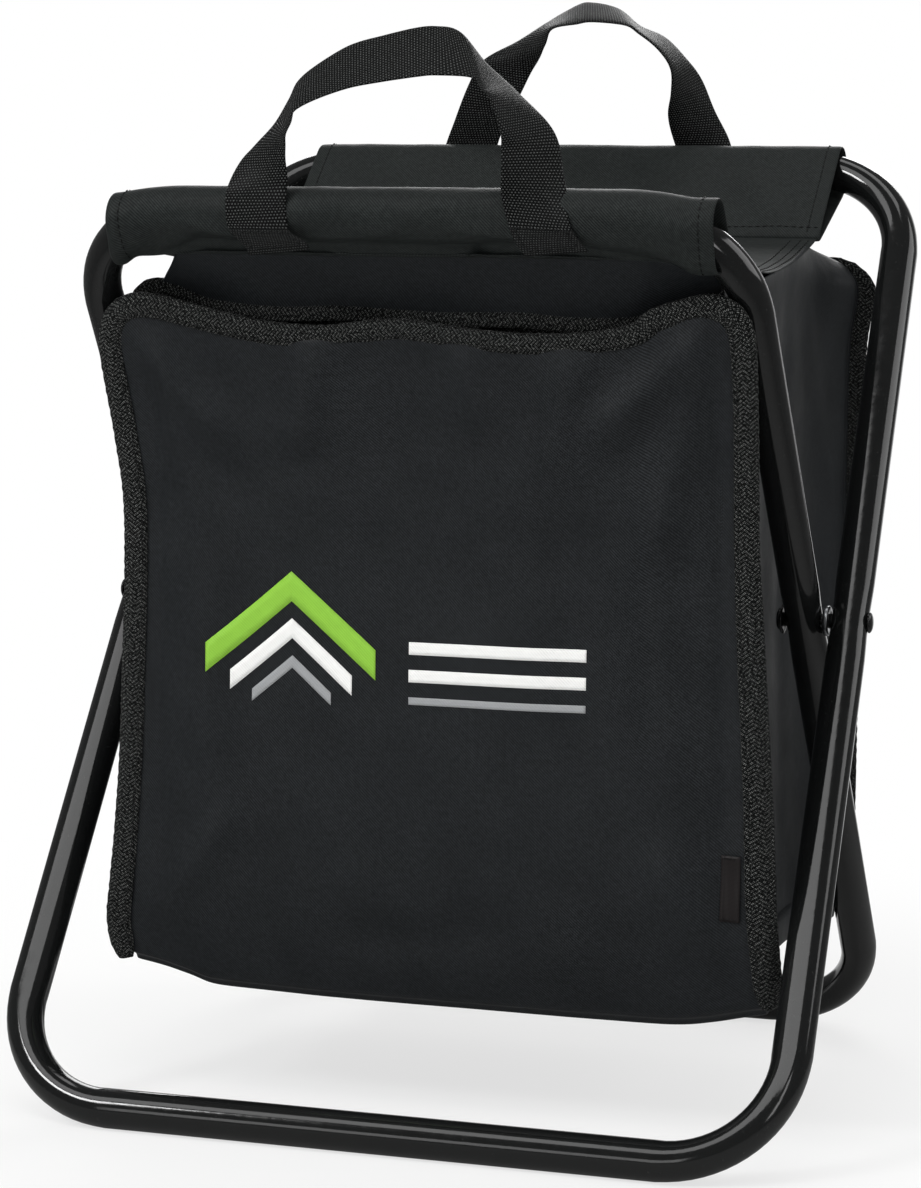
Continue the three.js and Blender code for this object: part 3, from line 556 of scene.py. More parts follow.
def makeHoop(name, node, body):
    sizes, hoop = hoopSizes, hoopSizes[name.split("Hoop")[0]]
    up = (hoop["barHeight"] - sizes["pivotHeight"]) / math.cos(sizes["tilt"])
    down = (sizes["pivotHeight"] - sizes["floorBarHeight"]) / math.cos(sizes["tilt"])
    corners = np.array([(hoop["halfTop"], up), (hoop["halfBottom"], -down),
                        (-hoop["halfBottom"], -down), (-hoop["halfTop"], up)])
    path = []   # place in the hoop's plane, outward direction, width of the section across the bend
    for number, corner in enumerate(corners):
        back = unit(corners[number - 1] - corner)
        ahead = unit(corners[(number + 1) % 4] - corner)
        half = math.acos(np.dot(back, ahead)) / 2
        centre = corner + unit(back + ahead) * hoop["corner"] / math.sin(half)
        first = math.atan2(-back[0], back[1])
        for step in range(sizes["bendSteps"] + 1):
            share = step / sizes["bendSteps"]
            angle = first - (math.pi - 2 * half) * share
            out = np.array([math.cos(angle), math.sin(angle)])
            flat = 1 - (1 - sizes["bendFlat"]) * math.sin(math.pi * share) ** 0.5
            path.append((centre + out * hoop["corner"], out, flat))
        start, end = path[-1][0], corners[(number + 1) % 4]
        length = np.linalg.norm(end - start) - hoop["corner"] / math.tan(half)
        stops = list(np.arange(sizes["firstStop"], length - sizes["lastStop"], sizes["stopPitch"]))
        isLeg = number in (0, 2)
        if isLeg:
            pivot = start[1] / (start[1] - end[1]) * np.linalg.norm(end - start)
            stops += [pivot + sizes["pivotReach"] * k for k in (-1.2, -0.8, -0.4, 0, 0.4, 0.8, 1.2)]
        for stop in sorted(stops):
            place = start + ahead * stop
            near = max(0.0, 1 - (place[1] / sizes["pivotReach"]) ** 2) if isLeg else 0.0
            path.append((place, out, 1 - (1 - sizes["pivotFlat"]) * near))
    lean = hoop["lean"]
    rise = np.array([0, lean * math.sin(sizes["tilt"]), math.cos(sizes["tilt"])])
    level = np.array([0, math.cos(sizes["tilt"]), -lean * math.sin(sizes["tilt"])])
    turn = np.linspace(0, 2 * math.pi, sizes["sides"], endpoint=False)
    rings = []
    for place, out, flat in path:
        middle = np.array([place[0], 0, sizes["pivotHeight"]]) + place[1] * rise
        outward = np.array([out[0], 0, 0]) + out[1] * rise
        section = np.outer(np.cos(turn) * flat, outward) + np.outer(np.sin(turn), level)
        rings.append(middle + sizes["radius"] * section)
    hoopPiece = gridMesh(name, np.array(rings), enamel, closedRows=True, closedColumns=True)
    return finishPiece(hoopPiece, body, "black_enamel", node)


def repaint(nodeName, material):
    # A solid of the CAD part keeps its shape and takes a material
    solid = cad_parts[nodeName]
    solid.data.materials.clear()
    solid.data.materials.append(material)
    return solid


makeHoop("outerHoop", "outer_frame_tube", "outer_frame")
makeHoop("innerHoop", "inner_frame_tube", "inner_frame")
for nodeName in ("outer_frame_splice", "inner_frame_splice"):
    repaint(nodeName, enamel)
print("hoops made")


# Rivets with a domed head outside and a clenched end inside, each with a spacer and a washer
pivotSizes = {
    "headRadius": 4.3, "headRise": 1.9, "headGap": 0.15, "shankRadius": 2.9, "washerRadius": 6.2,
    "washerHole": 3.3, "edge": 0.35, "sides": 40, "tip": 0.01, "headBevel": 0.3, "headWall": 0.25,
    "domeFoot": 0.4, "clenchEnd": 1.5,
    "clench": [(3.6, 0), (4.4, 0.5), (4.6, 1.2), (4.4, 1.45)],   # radius, distance from the inner end
}


def roundedDisc(inner, outer, low, high, edge):
    return [(inner, low), (outer - edge, low), (outer, low + edge), (outer, high - edge),
            (outer - edge, high), (inner, high), (inner, low)]


def makePivot(side, sign):
    sizes = pivotSizes
    centre = (0, 0, hoopSizes["pivotHeight"])
    rivetLow, rivetHigh = (corner.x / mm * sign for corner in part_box(f"pivot_rivet_{side}"))
    inside = min(rivetLow, rivetHigh)
    hoopFace = hoopSizes["outer"]["pivotHalf"] + hoopSizes["radius"] * hoopSizes["pivotFlat"]
    headFace = hoopFace + sizes["headGap"]
    profile = [(sizes["tip"], inside)] + [(radius, inside + along) for radius, along in sizes["clench"]]
    profile += [(sizes["shankRadius"], inside + sizes["clenchEnd"]), (sizes["shankRadius"], headFace),
                (sizes["headRadius"] - sizes["headBevel"], headFace),
                (sizes["headRadius"], headFace + sizes["headWall"])]
    domeRise = sizes["headRise"] - sizes["domeFoot"]
    for angle in np.linspace(0, math.pi / 2, 9):
        profile.append((max(sizes["headRadius"] * math.cos(angle), sizes["tip"]),
                        headFace + sizes["domeFoot"] + domeRise * math.sin(angle)))
    rivet = joined(f"pivotRivet.{side}", [turnedPart(profile, centre, sign, sizes["sides"])], [rivetEnamel])
    finishPiece(rivet, "outer_frame", "black_rivet", f"pivot_rivet_{side}")
    for kind, metal, slotName in (("spacer", zinc, "bright_steel"), ("washer", rivetEnamel, "black_rivet")):
        low, high = sorted(corner.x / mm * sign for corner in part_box(f"pivot_{kind}_{side}"))
        disc = roundedDisc(sizes["washerHole"], sizes["washerRadius"], low, high, sizes["edge"])
        ring = joined(f"pivot{kind.capitalize()}.{side}",
                      [turnedPart(disc, centre, sign, sizes["sides"])], [metal])
        finishPiece(ring, "outer_frame", slotName, f"pivot_{kind}_{side}")


for side, sign in (("left", -1), ("right", 1)):
    makePivot(side, sign)
print("pivots made")


# The bag's faces and outlines, as functions of place
bag = {
    "front": 91.4, "back": 120.1, "bottom": 52.0, "side": 121.5,
    "tuck": 7.0, "tuckStart": 100.0, "lean": 12.8, "leanStart": 215.0, "leanHeight": 111.0,
}
tapeLeft = tableThrough([(57, -126.4), (65, -127.9), (76, -128.5), (91, -126.5), (118, -124), (141, -122.5),
                         (213, -120.2), (249, -120.2), (296.5, -126), (312, -127.4), (330, -126.5)])
tapeRight = tableThrough([(57, 145.6), (75, 144.2), (103, 142), (145, 140), (200, 135.6), (236, 133.4),
                          (303, 133), (315, 132.8), (330, 131.8)])
mouthLine = tableThrough([(-128, 325.5), (-118, 327), (-110, 327.4), (-95, 324.2), (-77, 320.2), (-59, 317.2),
                          (-37, 316.3), (-22, 318), (-5, 319.8), (12, 318), (26.5, 316.4), (44.7, 315.1),
                          (68, 315.7), (84.5, 318), (92.7, 320.6), (98, 325), (115.6, 330), (124.5, 330.8),
                          (132, 329)])
bottomLine = tableThrough([(-136, 60.5), (-120, 59.5), (-100.5, 54.8), (-90.3, 51.4), (-64.5, 50.5),
                           (-26.5, 49.8), (18, 49.8), (68, 49.8), (103.7, 50.3), (121.4, 53), (138.9, 57.2),
                           (148, 58)])
pocketFolds = [   # the two ends of each fold, its width and its height
    (-114, 314, -78, 272, 7, 4.2), (-106, 302, -92, 244, 6, 2.4), (118, 320, 76, 280, 8, 4.8),
    (114, 304, 98, 236, 8, 3.6), (-40, 312, -50, 272, 9, 3.0), (66, 310, 56, 266, 10, 3.2),
    (-110, 78, -80, 120, 7, 3.0), (126, 76, 98, 116, 8, 3.2), (20, 312, 28, 282, 7, 2.4),
    (-110, 296, -110, 70, 3.2, -1.8), (122, 290, 128, 76, 3.4, -1.8), (94, 262, 106, 120, 13, 3.4),
    (-30, 74, 40, 80, 8, -1.8), (-92, 236, -86, 116, 11, 2.6), (60, 250, 74, 150, 15, -2.6),
    (-60, 210, -40, 90, 18, -1.6), (0, 290, 14, 200, 20, -1.6),
]
pocketShape = {
    "puff": 3.2, "puffPower": 0.6, "puffStart": (40, 110), "puffEnd": (250, 325), "flatter": 0.7,
    "slack": [(0.5, 34, 1), (0.22, 13, 2)],
}


def frontY(z, lean):
    tuck = np.maximum(1 - (z - bag["bottom"]) / (bag["tuckStart"] - bag["bottom"]), 0)
    rise = np.maximum((z - bag["leanStart"]) / bag["leanHeight"], 0)
    return -(bag["front"] - bag["tuck"] * tuck ** 2 + lean * rise ** 2)


def pocketY(x, z):
    shape = pocketShape
    low, high = tapeLeft(z), tapeRight(z)
    share = np.clip((x - low) / (high - low), 0, 1)
    puff = np.sin(math.pi * share) ** shape["puffPower"] * smoothStep(z, *shape["puffStart"])
    puff = puff * (1 - shape["flatter"] * smoothStep(z, *shape["puffEnd"]))
    slack = slackIn(np.stack([x, np.zeros_like(x), z], -1), shape["slack"])
    return frontY(z, bag["lean"]) - shape["puff"] * puff - foldHeights(x, z, pocketFolds) - slack


# The slip pocket on the front, whose cloth turns under the bag
pocketSizes = {
    "rows": 72, "columns": 72, "thickness": 0.9, "low": 60.0, "inset": 3, "turnRows": 4, "turnDepth": 5,
    "turnDrop": 4, "wrap": 22.0, "wrapRows": 8, "wrapSlope": 0.12,
}


def makePocket():
    sizes = pocketSizes
    rows = []
    across = np.linspace(0, 1, sizes["columns"])
    for share in np.linspace(0, 1, sizes["rows"]):
        z = np.full(sizes["columns"], sizes["low"])
        for settle in range(3):   # the height depends on x, and x on the height
            left, right = tapeLeft(z) + sizes["inset"], tapeRight(z) - sizes["inset"]
            x = left + (right - left) * across
            low = bottomLine(x)
            z = low + (mouthLine(x) - 1 - low) * share
        rows.append(np.column_stack([x, pocketY(x, z), z]))
    under = []
    for step in range(sizes["wrapRows"], 0, -1):   # the cloth turns under the bag
        angle = math.pi / 2 * min(step / sizes["turnRows"], 1)
        reach = max(step - sizes["turnRows"], 0) / (sizes["wrapRows"] - sizes["turnRows"]) * sizes["wrap"]
        turned = rows[0].copy()
        turned[:, 1] += sizes["turnDepth"] * math.sin(angle) + reach
        turned[:, 2] -= sizes["turnDrop"] * (1 - math.cos(angle)) - sizes["wrapSlope"] * reach
        under.append(turned)
    piece = clothPiece("pocketPanel", np.array(under + rows), twill, sizes["thickness"], "front_cover",
                       "pocket_panel", outward=(0, -1, 0))
    drawIn(piece)


makePocket()


def stripOn(points, normals, widths, turnBack, name, scallop=0.18):
    # A bound edge: a thick strip along a line, its outer part turned back by an angle at each point
    tangents = unit(np.gradient(points, axis=0))
    outward = unit(np.cross(normals, tangents))
    run = runAlong(points)
    rings = []
    for number, point in enumerate(points):
        ring = []
        wave = 1 + scallop / widths[number] * math.sin(2 * math.pi * run[number] / tapeSizes["scallopPitch"])
        for across, height in tapeSection:
            reach = across * widths[number] * (wave if abs(across) > 0.8 else 1)
            rise = height
            if across > 0:
                rise = height - reach * math.sin(turnBack[number])
                reach = reach * math.cos(turnBack[number])
            ring.append(point + outward[number] * reach + normals[number] * rise)
        rings.append(ring)
    return gridMesh(name, np.array(rings), tape, closedColumns=True, caps=True)


tapeSection = [   # across the tape as a share of its half width, and height
    (-1.0, 0.1), (-0.96, 0.75), (-0.6, 1.05), (-0.2, 1.35), (0.12, 1.6), (0.45, 1.45), (0.8, 1.05),
    (1.0, 0.45), (1.02, -0.3), (0.85, -0.9), (0.4, -1.2), (-0.3, -1.15), (-0.9, -0.9)]
tapeSizes = {
    "count": 420, "lift": 0.6, "scallopPitch": 5.0, "seamShare": 0.62, "seamLift": 1.15,
    "turnBack": (8, 12, 38),   # degrees on the left, on the right, and more low down on the right
    "rightFrom": (0.72, 0.76), "lowFrom": 240, "lowReach": 90, "slack": [(0.25, 18, 3)],
    "halfWidths": [(0, 3.4), (0.004, 4.8), (0.01, 5.6), (0.1, 5.3), (0.3, 5.2), (0.36, 5.0), (0.42, 4.6),
                   (0.5, 4.0), (0.6, 4.2), (0.66, 5.2), (0.7, 4.8), (0.78, 5.0), (0.88, 6.4), (0.94, 6.9),
                   (0.99, 6.4), (0.996, 5.2), (1, 3.6)],
}


def frontTapeLine():
    line = [(tapeLeft(z), z) for z in (58, 66, 76, 90, 110, 140, 180, 213, 249, 275, 296, 306)]
    line += [(-126.9, 314), (-124.6, 321), (-119.5, 325.6), (-112, 327.2)]
    line += [(x, mouthLine(x)) for x in (-104, -95, -86, -77, -59, -37, -22, -5, 12, 26.5, 44.7, 68, 84.5,
                                         92.7, 98, 106, 115.6)]
    line += [(123, 330.4), (128.8, 327.2), (131.9, 321), (132.7, 313)]
    line += [(tapeRight(z), z) for z in (303, 280, 258, 236, 200, 170, 145, 120, 103, 88, 75, 66, 58)]
    return throughPoints(line, tapeSizes["count"])


def makeFrontTape():
    sizes = tapeSizes
    line = frontTapeLine()
    x, z = line[:, 0], line[:, 1]
    y = frontY(z, bag["lean"]) - sizes["lift"]
    slope = (frontY(z + 1, bag["lean"]) - frontY(z - 1, bag["lean"])) / 2
    normals = unit(np.column_stack([np.zeros_like(z), -np.ones_like(z), slope]))
    share = np.linspace(0, 1, len(line))
    widths = np.interp(share, *np.array(sizes["halfWidths"]).T)
    right = smoothStep(share, *sizes["rightFrom"])
    leftTurn, rightTurn, lowTurn = np.radians(sizes["turnBack"])
    turnBack = right * (rightTurn + lowTurn * smoothStep(sizes["lowFrom"] - z, 0, sizes["lowReach"]))
    turnBack += (1 - right) * leftTurn
    points = np.column_stack([x, y, z])
    points += normals * slackIn(points, sizes["slack"])[:, None]
    piece = stripOn(points, normals, widths, turnBack, "frontBinding")
    finishPiece(piece, "front_cover", "binding_tape", "front_binding", "pocket_binding")
    drawIn(piece)
    outward = unit(np.cross(normals, unit(np.gradient(points, axis=0))))
    seam = points - outward * (widths * sizes["seamShare"])[:, None] + normals * sizes["seamLift"]
    drawIn(sewPiece("frontBindingThread", [seam[3:-3]], "front_cover", "binding_tape",
                    pitch=2.6, length=1.8, radius=0.22))


makeFrontTape()
print("pocket and binding made")


# The print and the blank label on the pocket
chevrons = [   # middle, height of the point, reach to each side, drop of the arms, width, ink
    (-52, 222, 36, 30, 12, 0), (-52, 203, 26, 21.7, 8, 1), (-52, 188, 17, 14.2, 5, 2),
    (34, 196, 36, 0, 5, 1), (34, 185, 36, 0, 5, 1), (34, 174, 36, 0, 3, 2),
]
inkLift, inkThickness = 0.32, 0.25


def makePrint():
    rows, columns = 4, 61
    for ink, inkName in enumerate(("lime", "white", "grey")):
        parts = []
        for middle, point, reach, drop, width, number in chevrons:
            if number != ink:
                continue
            share = np.linspace(-1, 1, columns)
            x = np.tile(middle + reach * share, (rows, 1))
            z = point - drop * np.abs(share) - np.linspace(0, width, rows)[:, None]
            flat = np.stack([x, pocketY(x, z) - inkLift, z], -1).reshape(-1, 3)
            faces = []
            for start in range(0, (rows - 1) * columns, columns):
                for place in range(start, start + columns - 1):
                    faces.append([place + columns, place + columns + 1, place + 1, place])
            corners = [(flat[place][0], flat[place][2]) for face in faces for place in face]
            parts.append((list(flat), faces, corners, 0))
        piece = thicken(joined(f"pocketPrint.{inkName}", parts, [inks[ink]]), inkThickness, -1.0)
        drawIn(finishPiece(piece, "front_cover", "polyester"))


labelSizes = {"middle": 129.5, "low": 92.5, "high": 118.5, "width": 7.8, "lift": 0.95, "thickness": 0.35,
              "hem": 1.2, "wave": 0.25, "waveRun": 4.0, "threadLift": 0.5, "threadReach": 0.46}


def makeLabel():
    sizes = labelSizes
    x, z = np.meshgrid(np.linspace(-0.5, 0.5, 8) * sizes["width"] + sizes["middle"],
                       np.linspace(sizes["low"], sizes["high"], 22))
    lift = sizes["lift"] + sizes["wave"] * np.sin((z - sizes["low"]) / sizes["waveRun"])
    grid = np.stack([x, pocketY(x, z) - lift, z], -1)
    drawIn(thinPiece("sideLabel", grid, label, sizes["thickness"], "front_cover", "side_label", "polyester",
                     outward=(0, -1, 0)))
    lines = []
    for height in (sizes["low"] + sizes["hem"], sizes["high"] - sizes["hem"]):
        reach = sizes["threadReach"]
        across = np.linspace(-reach, reach, 9) * sizes["width"] + sizes["middle"]
        level = np.full(9, height)
        depth = pocketY(across, level) - sizes["lift"] - sizes["threadLift"]
        lines.append(np.column_stack([across, depth, level]))
    drawIn(sewPiece("sideLabelThread", lines, "front_cover", pitch=1.9, length=1.3, radius=0.16))


makePrint()
makeLabel()
print("print and label made")


# The sleeves round the top bars: tips are the seams that their skirts are pulled to
slingCloth = {
    "thickness": 0.9, "threadLift": 0.62, "bendShare": 0.74, "sagReach": 29, "bendRadius": 8.9,
    "skirt": (12, 17), "tuckIn": 0.33, "tuckDown": 0.17, "tuckEnd": 5,
}
sleeves = {
    "front": {
        "xs": (-118.5, 126.0, 84), "bar": (-116.4, 364.0), "corner": 44, "halfTop": 133, "lean": 1,
        "radius": 9.9, "sag": 3.6, "tips": [(-113.6, 348.2, 0.8), (-100.6, 351.4, 0.8)],
        "start": (-113.6, 347.2), "towards": (-1, 0.5), "count": 64, "body": "front_cover",
        "undercut": [(-104, 0), (-90, 9), (-82, 13.5), (-40, 12), (10, 11.5), (46, 13), (66, 13), (122, 0)],
        "folds": [(-84, 17, -60, 12, 2.4, 1.8), (-30, 12, 0, 15, 2.6, 1.2), (30, 16, 62, 12, 2.6, 1.6),
                  (66, 15, 112, 6, 4, 1.4), (-104, 6, -112, 26, 5, 1.2), (104, 4, 116, 24, 5, 1.2),
                  (-50, 20, -24, 26, 5, 0.9), (10, 24, 46, 28, 5, 0.8), (-20, 3, 30, 5, 3, 1.0)],
    },
    "rear": {
        "xs": (-122.0, 122.0, 84), "bar": (132.1, 386.0), "corner": 46, "halfTop": 152, "lean": -1,
        "radius": 9.5, "sag": 0.6, "tips": [(86.4, 355.9, 0.9)],
        "start": (86.0, 355.0), "towards": (-0.6, 0.8), "count": 84, "body": "rear_cover",
        "folds": [(-110, 6, -70, 44, 7, 0.9), (104, 8, 84, 40, 7, 1.0), (-30, 4, -10, 50, 10, 0.7),
                  (60, 4, 40, 44, 9, 0.8), (0, 54, 30, 10, 8, 0.6)],
    },
}
foldedTilt = math.radians(9.53)


def sleeveRings(sleeve):
    rings = []
    low, high, count = sleeve["xs"]
    inside = sleeve["corner"] - hoopSizes["radius"]
    for x in np.linspace(low, high, count):
        past = max(abs(x) - (sleeve["halfTop"] - sleeve["corner"]), 0)
        bent = min(past, slingCloth["bendShare"] * inside)   # the very end stands off the bend of the bar
        drop = inside - math.sqrt(inside ** 2 - bent ** 2)
        y, z = sleeve["bar"]
        sag = sleeve["sag"] * (bent / slingCloth["sagReach"]) ** 2
        circles = [(y, z - sag, sleeve["radius"])]
        for angle in (hoopSizes["tilt"], foldedTilt):
            circles.append((y + sleeve["lean"] * drop * math.sin(angle), z - drop * math.cos(angle),
                            slingCloth["bendRadius"]))
        line = hullRound(circles + sleeve["tips"], sleeve["start"], sleeve["towards"], sleeve["count"])
        rings.append(np.column_stack([np.full(len(line), x), line]))
    rings = np.array(rings)
    gaps = np.linalg.norm(np.roll(rings, -1, 1) - rings, axis=2)
    along = np.cumsum(gaps, axis=1) - gaps
    normals = gridNormals(rings, closedColumns=True)
    centre = rings.mean(1, keepdims=True)
    if ((rings - centre) * normals).sum() < 0:
        normals = -normals
    height = foldHeights(rings[..., 0], along, sleeve["folds"])
    # Only the skirt below the bar can fold inwards
    loose = 0.3 + 0.7 * (1 - smoothStep(along, *slingCloth["skirt"]))
    height = np.maximum(height, 0) + loose * np.minimum(height, 0)
    height += 0.3 * (unevenness(rings, 22, 5) + 1) + 0.12 * unevenness(rings, 8, 6)
    if "undercut" in sleeve:
        edge = np.interp(rings[..., 0], *np.array(sleeve["undercut"]).T)
        share = np.clip(along / np.maximum(edge, 0.1), 0, 1)
        total = (along + gaps)[:, -1:]
        end = smoothStep(along, total - slingCloth["tuckEnd"], total)
        height -= slingCloth["tuckIn"] * edge * np.maximum(smoothStep(1 - share, 0, 0.5), end)
        rings[..., 2] -= slingCloth["tuckDown"] * edge * np.maximum(1 - share, end)
    return rings + normals * height[..., None], normals


def makeSleeve(name):
    sleeve = sleeves[name]
    rings, normals = sleeveRings(sleeve)
    clothPiece(f"{name}Sleeve", rings, slingTwill, slingCloth["thickness"], sleeve["body"], f"{name}_sleeve",
               offset=0.0, closedColumns=True)
    skin = rings + normals * slingCloth["threadLift"]
    rows = [skin[place][2:-3] for place in (2, -3)]
    if name == "rear":
        rows.append(skin[:, 4])
    sewPiece(f"{name}SleeveThread", rows, sleeve["body"])


makeSleeve("front")
makeSleeve("rear")
print("sleeves made")


# The seat sling between the sleeves
seatSizes = {
    "half": 121.0, "front": (-100.5, 351.6), "rear": (88.0, 356.2), "sag": 11.2, "slant": 0.08,
    "deepest": 1.15, "waist": 0.012, "rows": 60, "columns": 70, "keep": 0.04, "stitchRows": (3.0, 6.5, 11.0),
    "foldShare": 0.8, "slack": [(0.8, 40, 8), (0.3, 15, 9)],
}
seatFolds = [(-110, -90, -60, 40, 9, 1.4), (108, -88, 70, 30, 9, 1.6), (-40, -95, -20, 60, 12, 1.0),
             (30, -95, 52, 70, 11, 1.1), (-90, 80, -70, -10, 9, 1.0), (96, 80, 80, 0, 8, 1.1)]


def seatZ(x, y):
    sizes = seatSizes
    (startY, startZ), (endY, endZ) = sizes["front"], sizes["rear"]
    share = np.clip((y - startY) / (endY - startY), 0, 1)
    deep = share ** sizes["deepest"]
    sag = sizes["sag"] * 4 * deep * (1 - deep) * (1 + sizes["slant"] * x / sizes["half"])
    soft = np.sin(math.pi * share) ** 0.5
    slack = slackIn(np.stack([x, y, np.zeros_like(x)], -1), sizes["slack"])
    folds = foldHeights(x, y, seatFolds) * sizes["foldShare"]
    return startZ + (endZ - startZ) * share - sag + soft * (folds + slack)


def foldSeat(piece):
    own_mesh(piece)


def makeSeat():
    sizes = seatSizes
    front, rear = sizes["front"][0], sizes["rear"][0]

    def drawnIn(y):
        return 1 - sizes["waist"] * np.sin(math.pi * (y - front) / (rear - front))

    x, y = np.meshgrid(np.linspace(-1, 1, sizes["columns"]) * sizes["half"],
                       np.linspace(front, rear, sizes["rows"]))
    x = x * drawnIn(y)
    piece = clothPiece("seatSling", np.stack([x, y, seatZ(x, y)], -1), slingTwill, slingCloth["thickness"],
                       "rear_cover", "seat_panel", offset=0.0, outward=(0, 0, 1))
    foldSeat(piece)
    lines = []
    for inset in sizes["stitchRows"]:
        for side in (-1, 1):
            along = np.linspace(front + 3, rear - 4, 60)
            across = side * (sizes["half"] - inset) * drawnIn(along)
            lines.append(np.column_stack([across, along, seatZ(across, along) + slingCloth["threadLift"]]))
    foldSeat(sewPiece("seatSlingThread", lines, "rear_cover"))


makeSeat()
print("seat made")


# The padded walls. The keep values are what is left of a length when the frame is folded
wallSizes = {
    "rows": 70, "columns": 64, "thickness": 1.6, "hem": 53.5, "hemRise": {"left": 9.0, "right": 0.0},
    "hemEnd": (-88, -66), "top": 346, "frontTop": 330.0, "frontGap": 1.9, "tuckedFront": -100,
    "tuckedFrom": (328, 344), "flange": 3.5, "flangeInset": 3.2, "flangeEnd": (318, 336), "bend": 3.2,
    "backGap": 0.3, "flareReach": 66.0, "slack": (-3.4, 1.0), "slackBack": (96, 116),
    "slackLow": (60, 100), "slackHigh": (310, 345), "keep": 0.125, "narrow": 0.92,
    "innerKeep": 0.092, "boardKeep": 0.95,
}
wallFolds = [(-60, 90, -48, 300, 10, -2.2), (-10, 80, 4, 250, 12, -1.6), (44, 120, 36, 320, 11, -2.4),
             (84, 80, 92, 240, 9, -1.6), (-84, 200, -60, 330, 8, 1.0), (70, 330, 100, 250, 8, 1.2),
             (-30, 330, 10, 280, 9, 1.0)]
gussetTop = tableThrough([(-106, 325), (-104, 326), (-96, 331), (-84, 336), (-70, 337.5), (-50, 338),
                          (-25, 338.6), (0, 341.5), (28, 344.8), (45, 347.2), (60, 350.4), (73, 353.0),
                          (86, 351.8), (104, 349.2), (112, 347.4), (119, 345.6), (128, 345)])
backHalf = tableThrough([(50, 129), (100, 129), (250, 129), (305, 129.2), (325, 131.6), (336, 132.4),
                         (341, 129.5), (346, 124.6), (353, 117.5)])


def foldBack(piece):
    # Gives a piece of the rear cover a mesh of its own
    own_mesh(piece)


def gussetPoint(share, place, side, edge):
    # One point of a side wall: share is up the wall, place is from the front flange to the back edge
    sizes = wallSizes
    back = bag["back"] - sizes["backGap"]
    low = sizes["hem"]
    z = low + (sizes["top"] - low) * share
    for settle in range(3):   # the height depends on the place along the wall, and that on the height
        front = frontY(np.float64(min(z, sizes["frontTop"])), bag["lean"]) + sizes["frontGap"]
        front = front + (sizes["tuckedFront"] - front) * float(smoothStep(z, *sizes["tuckedFrom"]))
        reach = min(float(edge(z)) - sizes["flangeInset"] - bag["side"], sizes["flange"])
        flange = reach * (1 - float(smoothStep(z, *sizes["flangeEnd"])))
        bend = sizes["bend"]
        stops = [0, flange, flange + bend * 1.5, flange + bend * 1.5 + (back - front - bend)]
        at = place * stops[-1]
        if at < stops[1]:
            x, y = flange - at, front
        elif at < stops[2]:
            turn = math.pi / 2 * (at - stops[1]) / (bend * 1.5)
            x, y = -bend * math.sin(turn) * 0.5, front + bend * (1 - math.cos(turn))
        else:
            x, y = -bend * 0.5, front + bend + (at - stops[2])
        low = sizes["hem"] + sizes["hemRise"][side] * (1 - float(smoothStep(y, *sizes["hemEnd"])))
        z = low + (float(gussetTop(y)) - low) * share
    flare = float(backHalf(z)) - bag["side"] - x
    x += flare * float(smoothStep(y, back - sizes["flareReach"], back)) ** 1.5
    return bag["side"] + x, y, z


def makeGusset(side, sign):
    sizes = wallSizes
    edge = tapeRight if sign > 0 else lambda z: -tapeLeft(z)
    rows = np.array([[gussetPoint(share, place, side, edge) for place in np.linspace(0, 1, sizes["columns"])]
                     for share in np.linspace(0, 1, sizes["rows"])])
    rows[..., 0] *= sign
    inner = smoothStep(rows[..., 1], *sizes["hemEnd"]) * (1 - smoothStep(rows[..., 1], *sizes["slackBack"]))
    inner = inner * smoothStep(rows[..., 2], *sizes["slackLow"])
    inner = inner * (1 - 0.6 * smoothStep(rows[..., 2], *sizes["slackHigh"]))
    slack = foldHeights(rows[..., 1], rows[..., 2], wallFolds) - 1.2 * (unevenness(rows, 36, 11 + sign) + 0.6)
    rows[..., 0] += sign * inner * np.clip(slack, *sizes["slack"])
    rows[..., 0] += sign * 0.15 * unevenness(rows, 9, 14 + sign)
    piece = clothPiece(f"sideWall.{side}", rows, twill, sizes["thickness"], "rear_cover", f"gusset_{side}",
                       outward=(sign, 0, 0))
    foldBack(piece)


for side, sign in (("left", -1), ("right", 1)):
    makeGusset(side, sign)

backSizes = {
    "columns": 72, "wall": (55, 344, 64), "seam": 0.6, "lift": 1.0, "puff": 3.4, "puffFoot": 50,
    "puffHeight": 292, "foldShare": 0.8, "slack": [(0.6, 36, 21), (0.25, 13, 22)], "slopeHalf": 117.6,
    "slopeRun": 34.0, "slopeFoot": 344.6, "slopeRise": 9.4, "slopeLift": 0.8, "slopeCrown": 1.2,
    "slopeEdge": 1.8,
}
backTapeSizes = {
    "low": 60.0, "top": 342.8, "corner": 12.0, "reach": 2.6, "lift": 1.5, "halfWidth": 5.0, "turnBack": 0.14,
    "slack": [(0.25, 18, 31)], "count": 460, "levels": [90, 130, 180, 230, 270, 296, 312, 326, 334],
    "shoulder": [(131.6, 338.2), (127.8, 340.9), (122.0, 342.2), (112.0, 342.6)],
}
boardSizes = {   # the low and the high corner of each board, and how square its edges are
    "bottomBoard": ((-118, -76, 54.6), (122.5, 119, 71)),
    "frontWall": ((-117.5, -88.6, 62), (119.5, -78.6, 317)),
    "power": 0.22,
}
linerSizes = {
    "centre": (0, 16.6), "half": (113.6, 95.4), "power": 0.16, "columns": 120, "wall": (316.8, 82, 40),
    "floorEdge": [(78.5, 0.985), (77, 0.95)], "floor": 76.6, "thickness": 0.5,
    "creases": [(0.9, 17, 51)], "smooth": 0.4,
}
backFolds = [(-100, 320, -60, 270, 8, 1.2), (100, 320, 66, 266, 8, 1.2), (-104, 80, -70, 120, 8, 1.2),
             (104, 80, 74, 124, 8, 1.2), (-20, 310, -30, 120, 16, 1.0), (44, 300, 36, 140, 15, 1.0)]


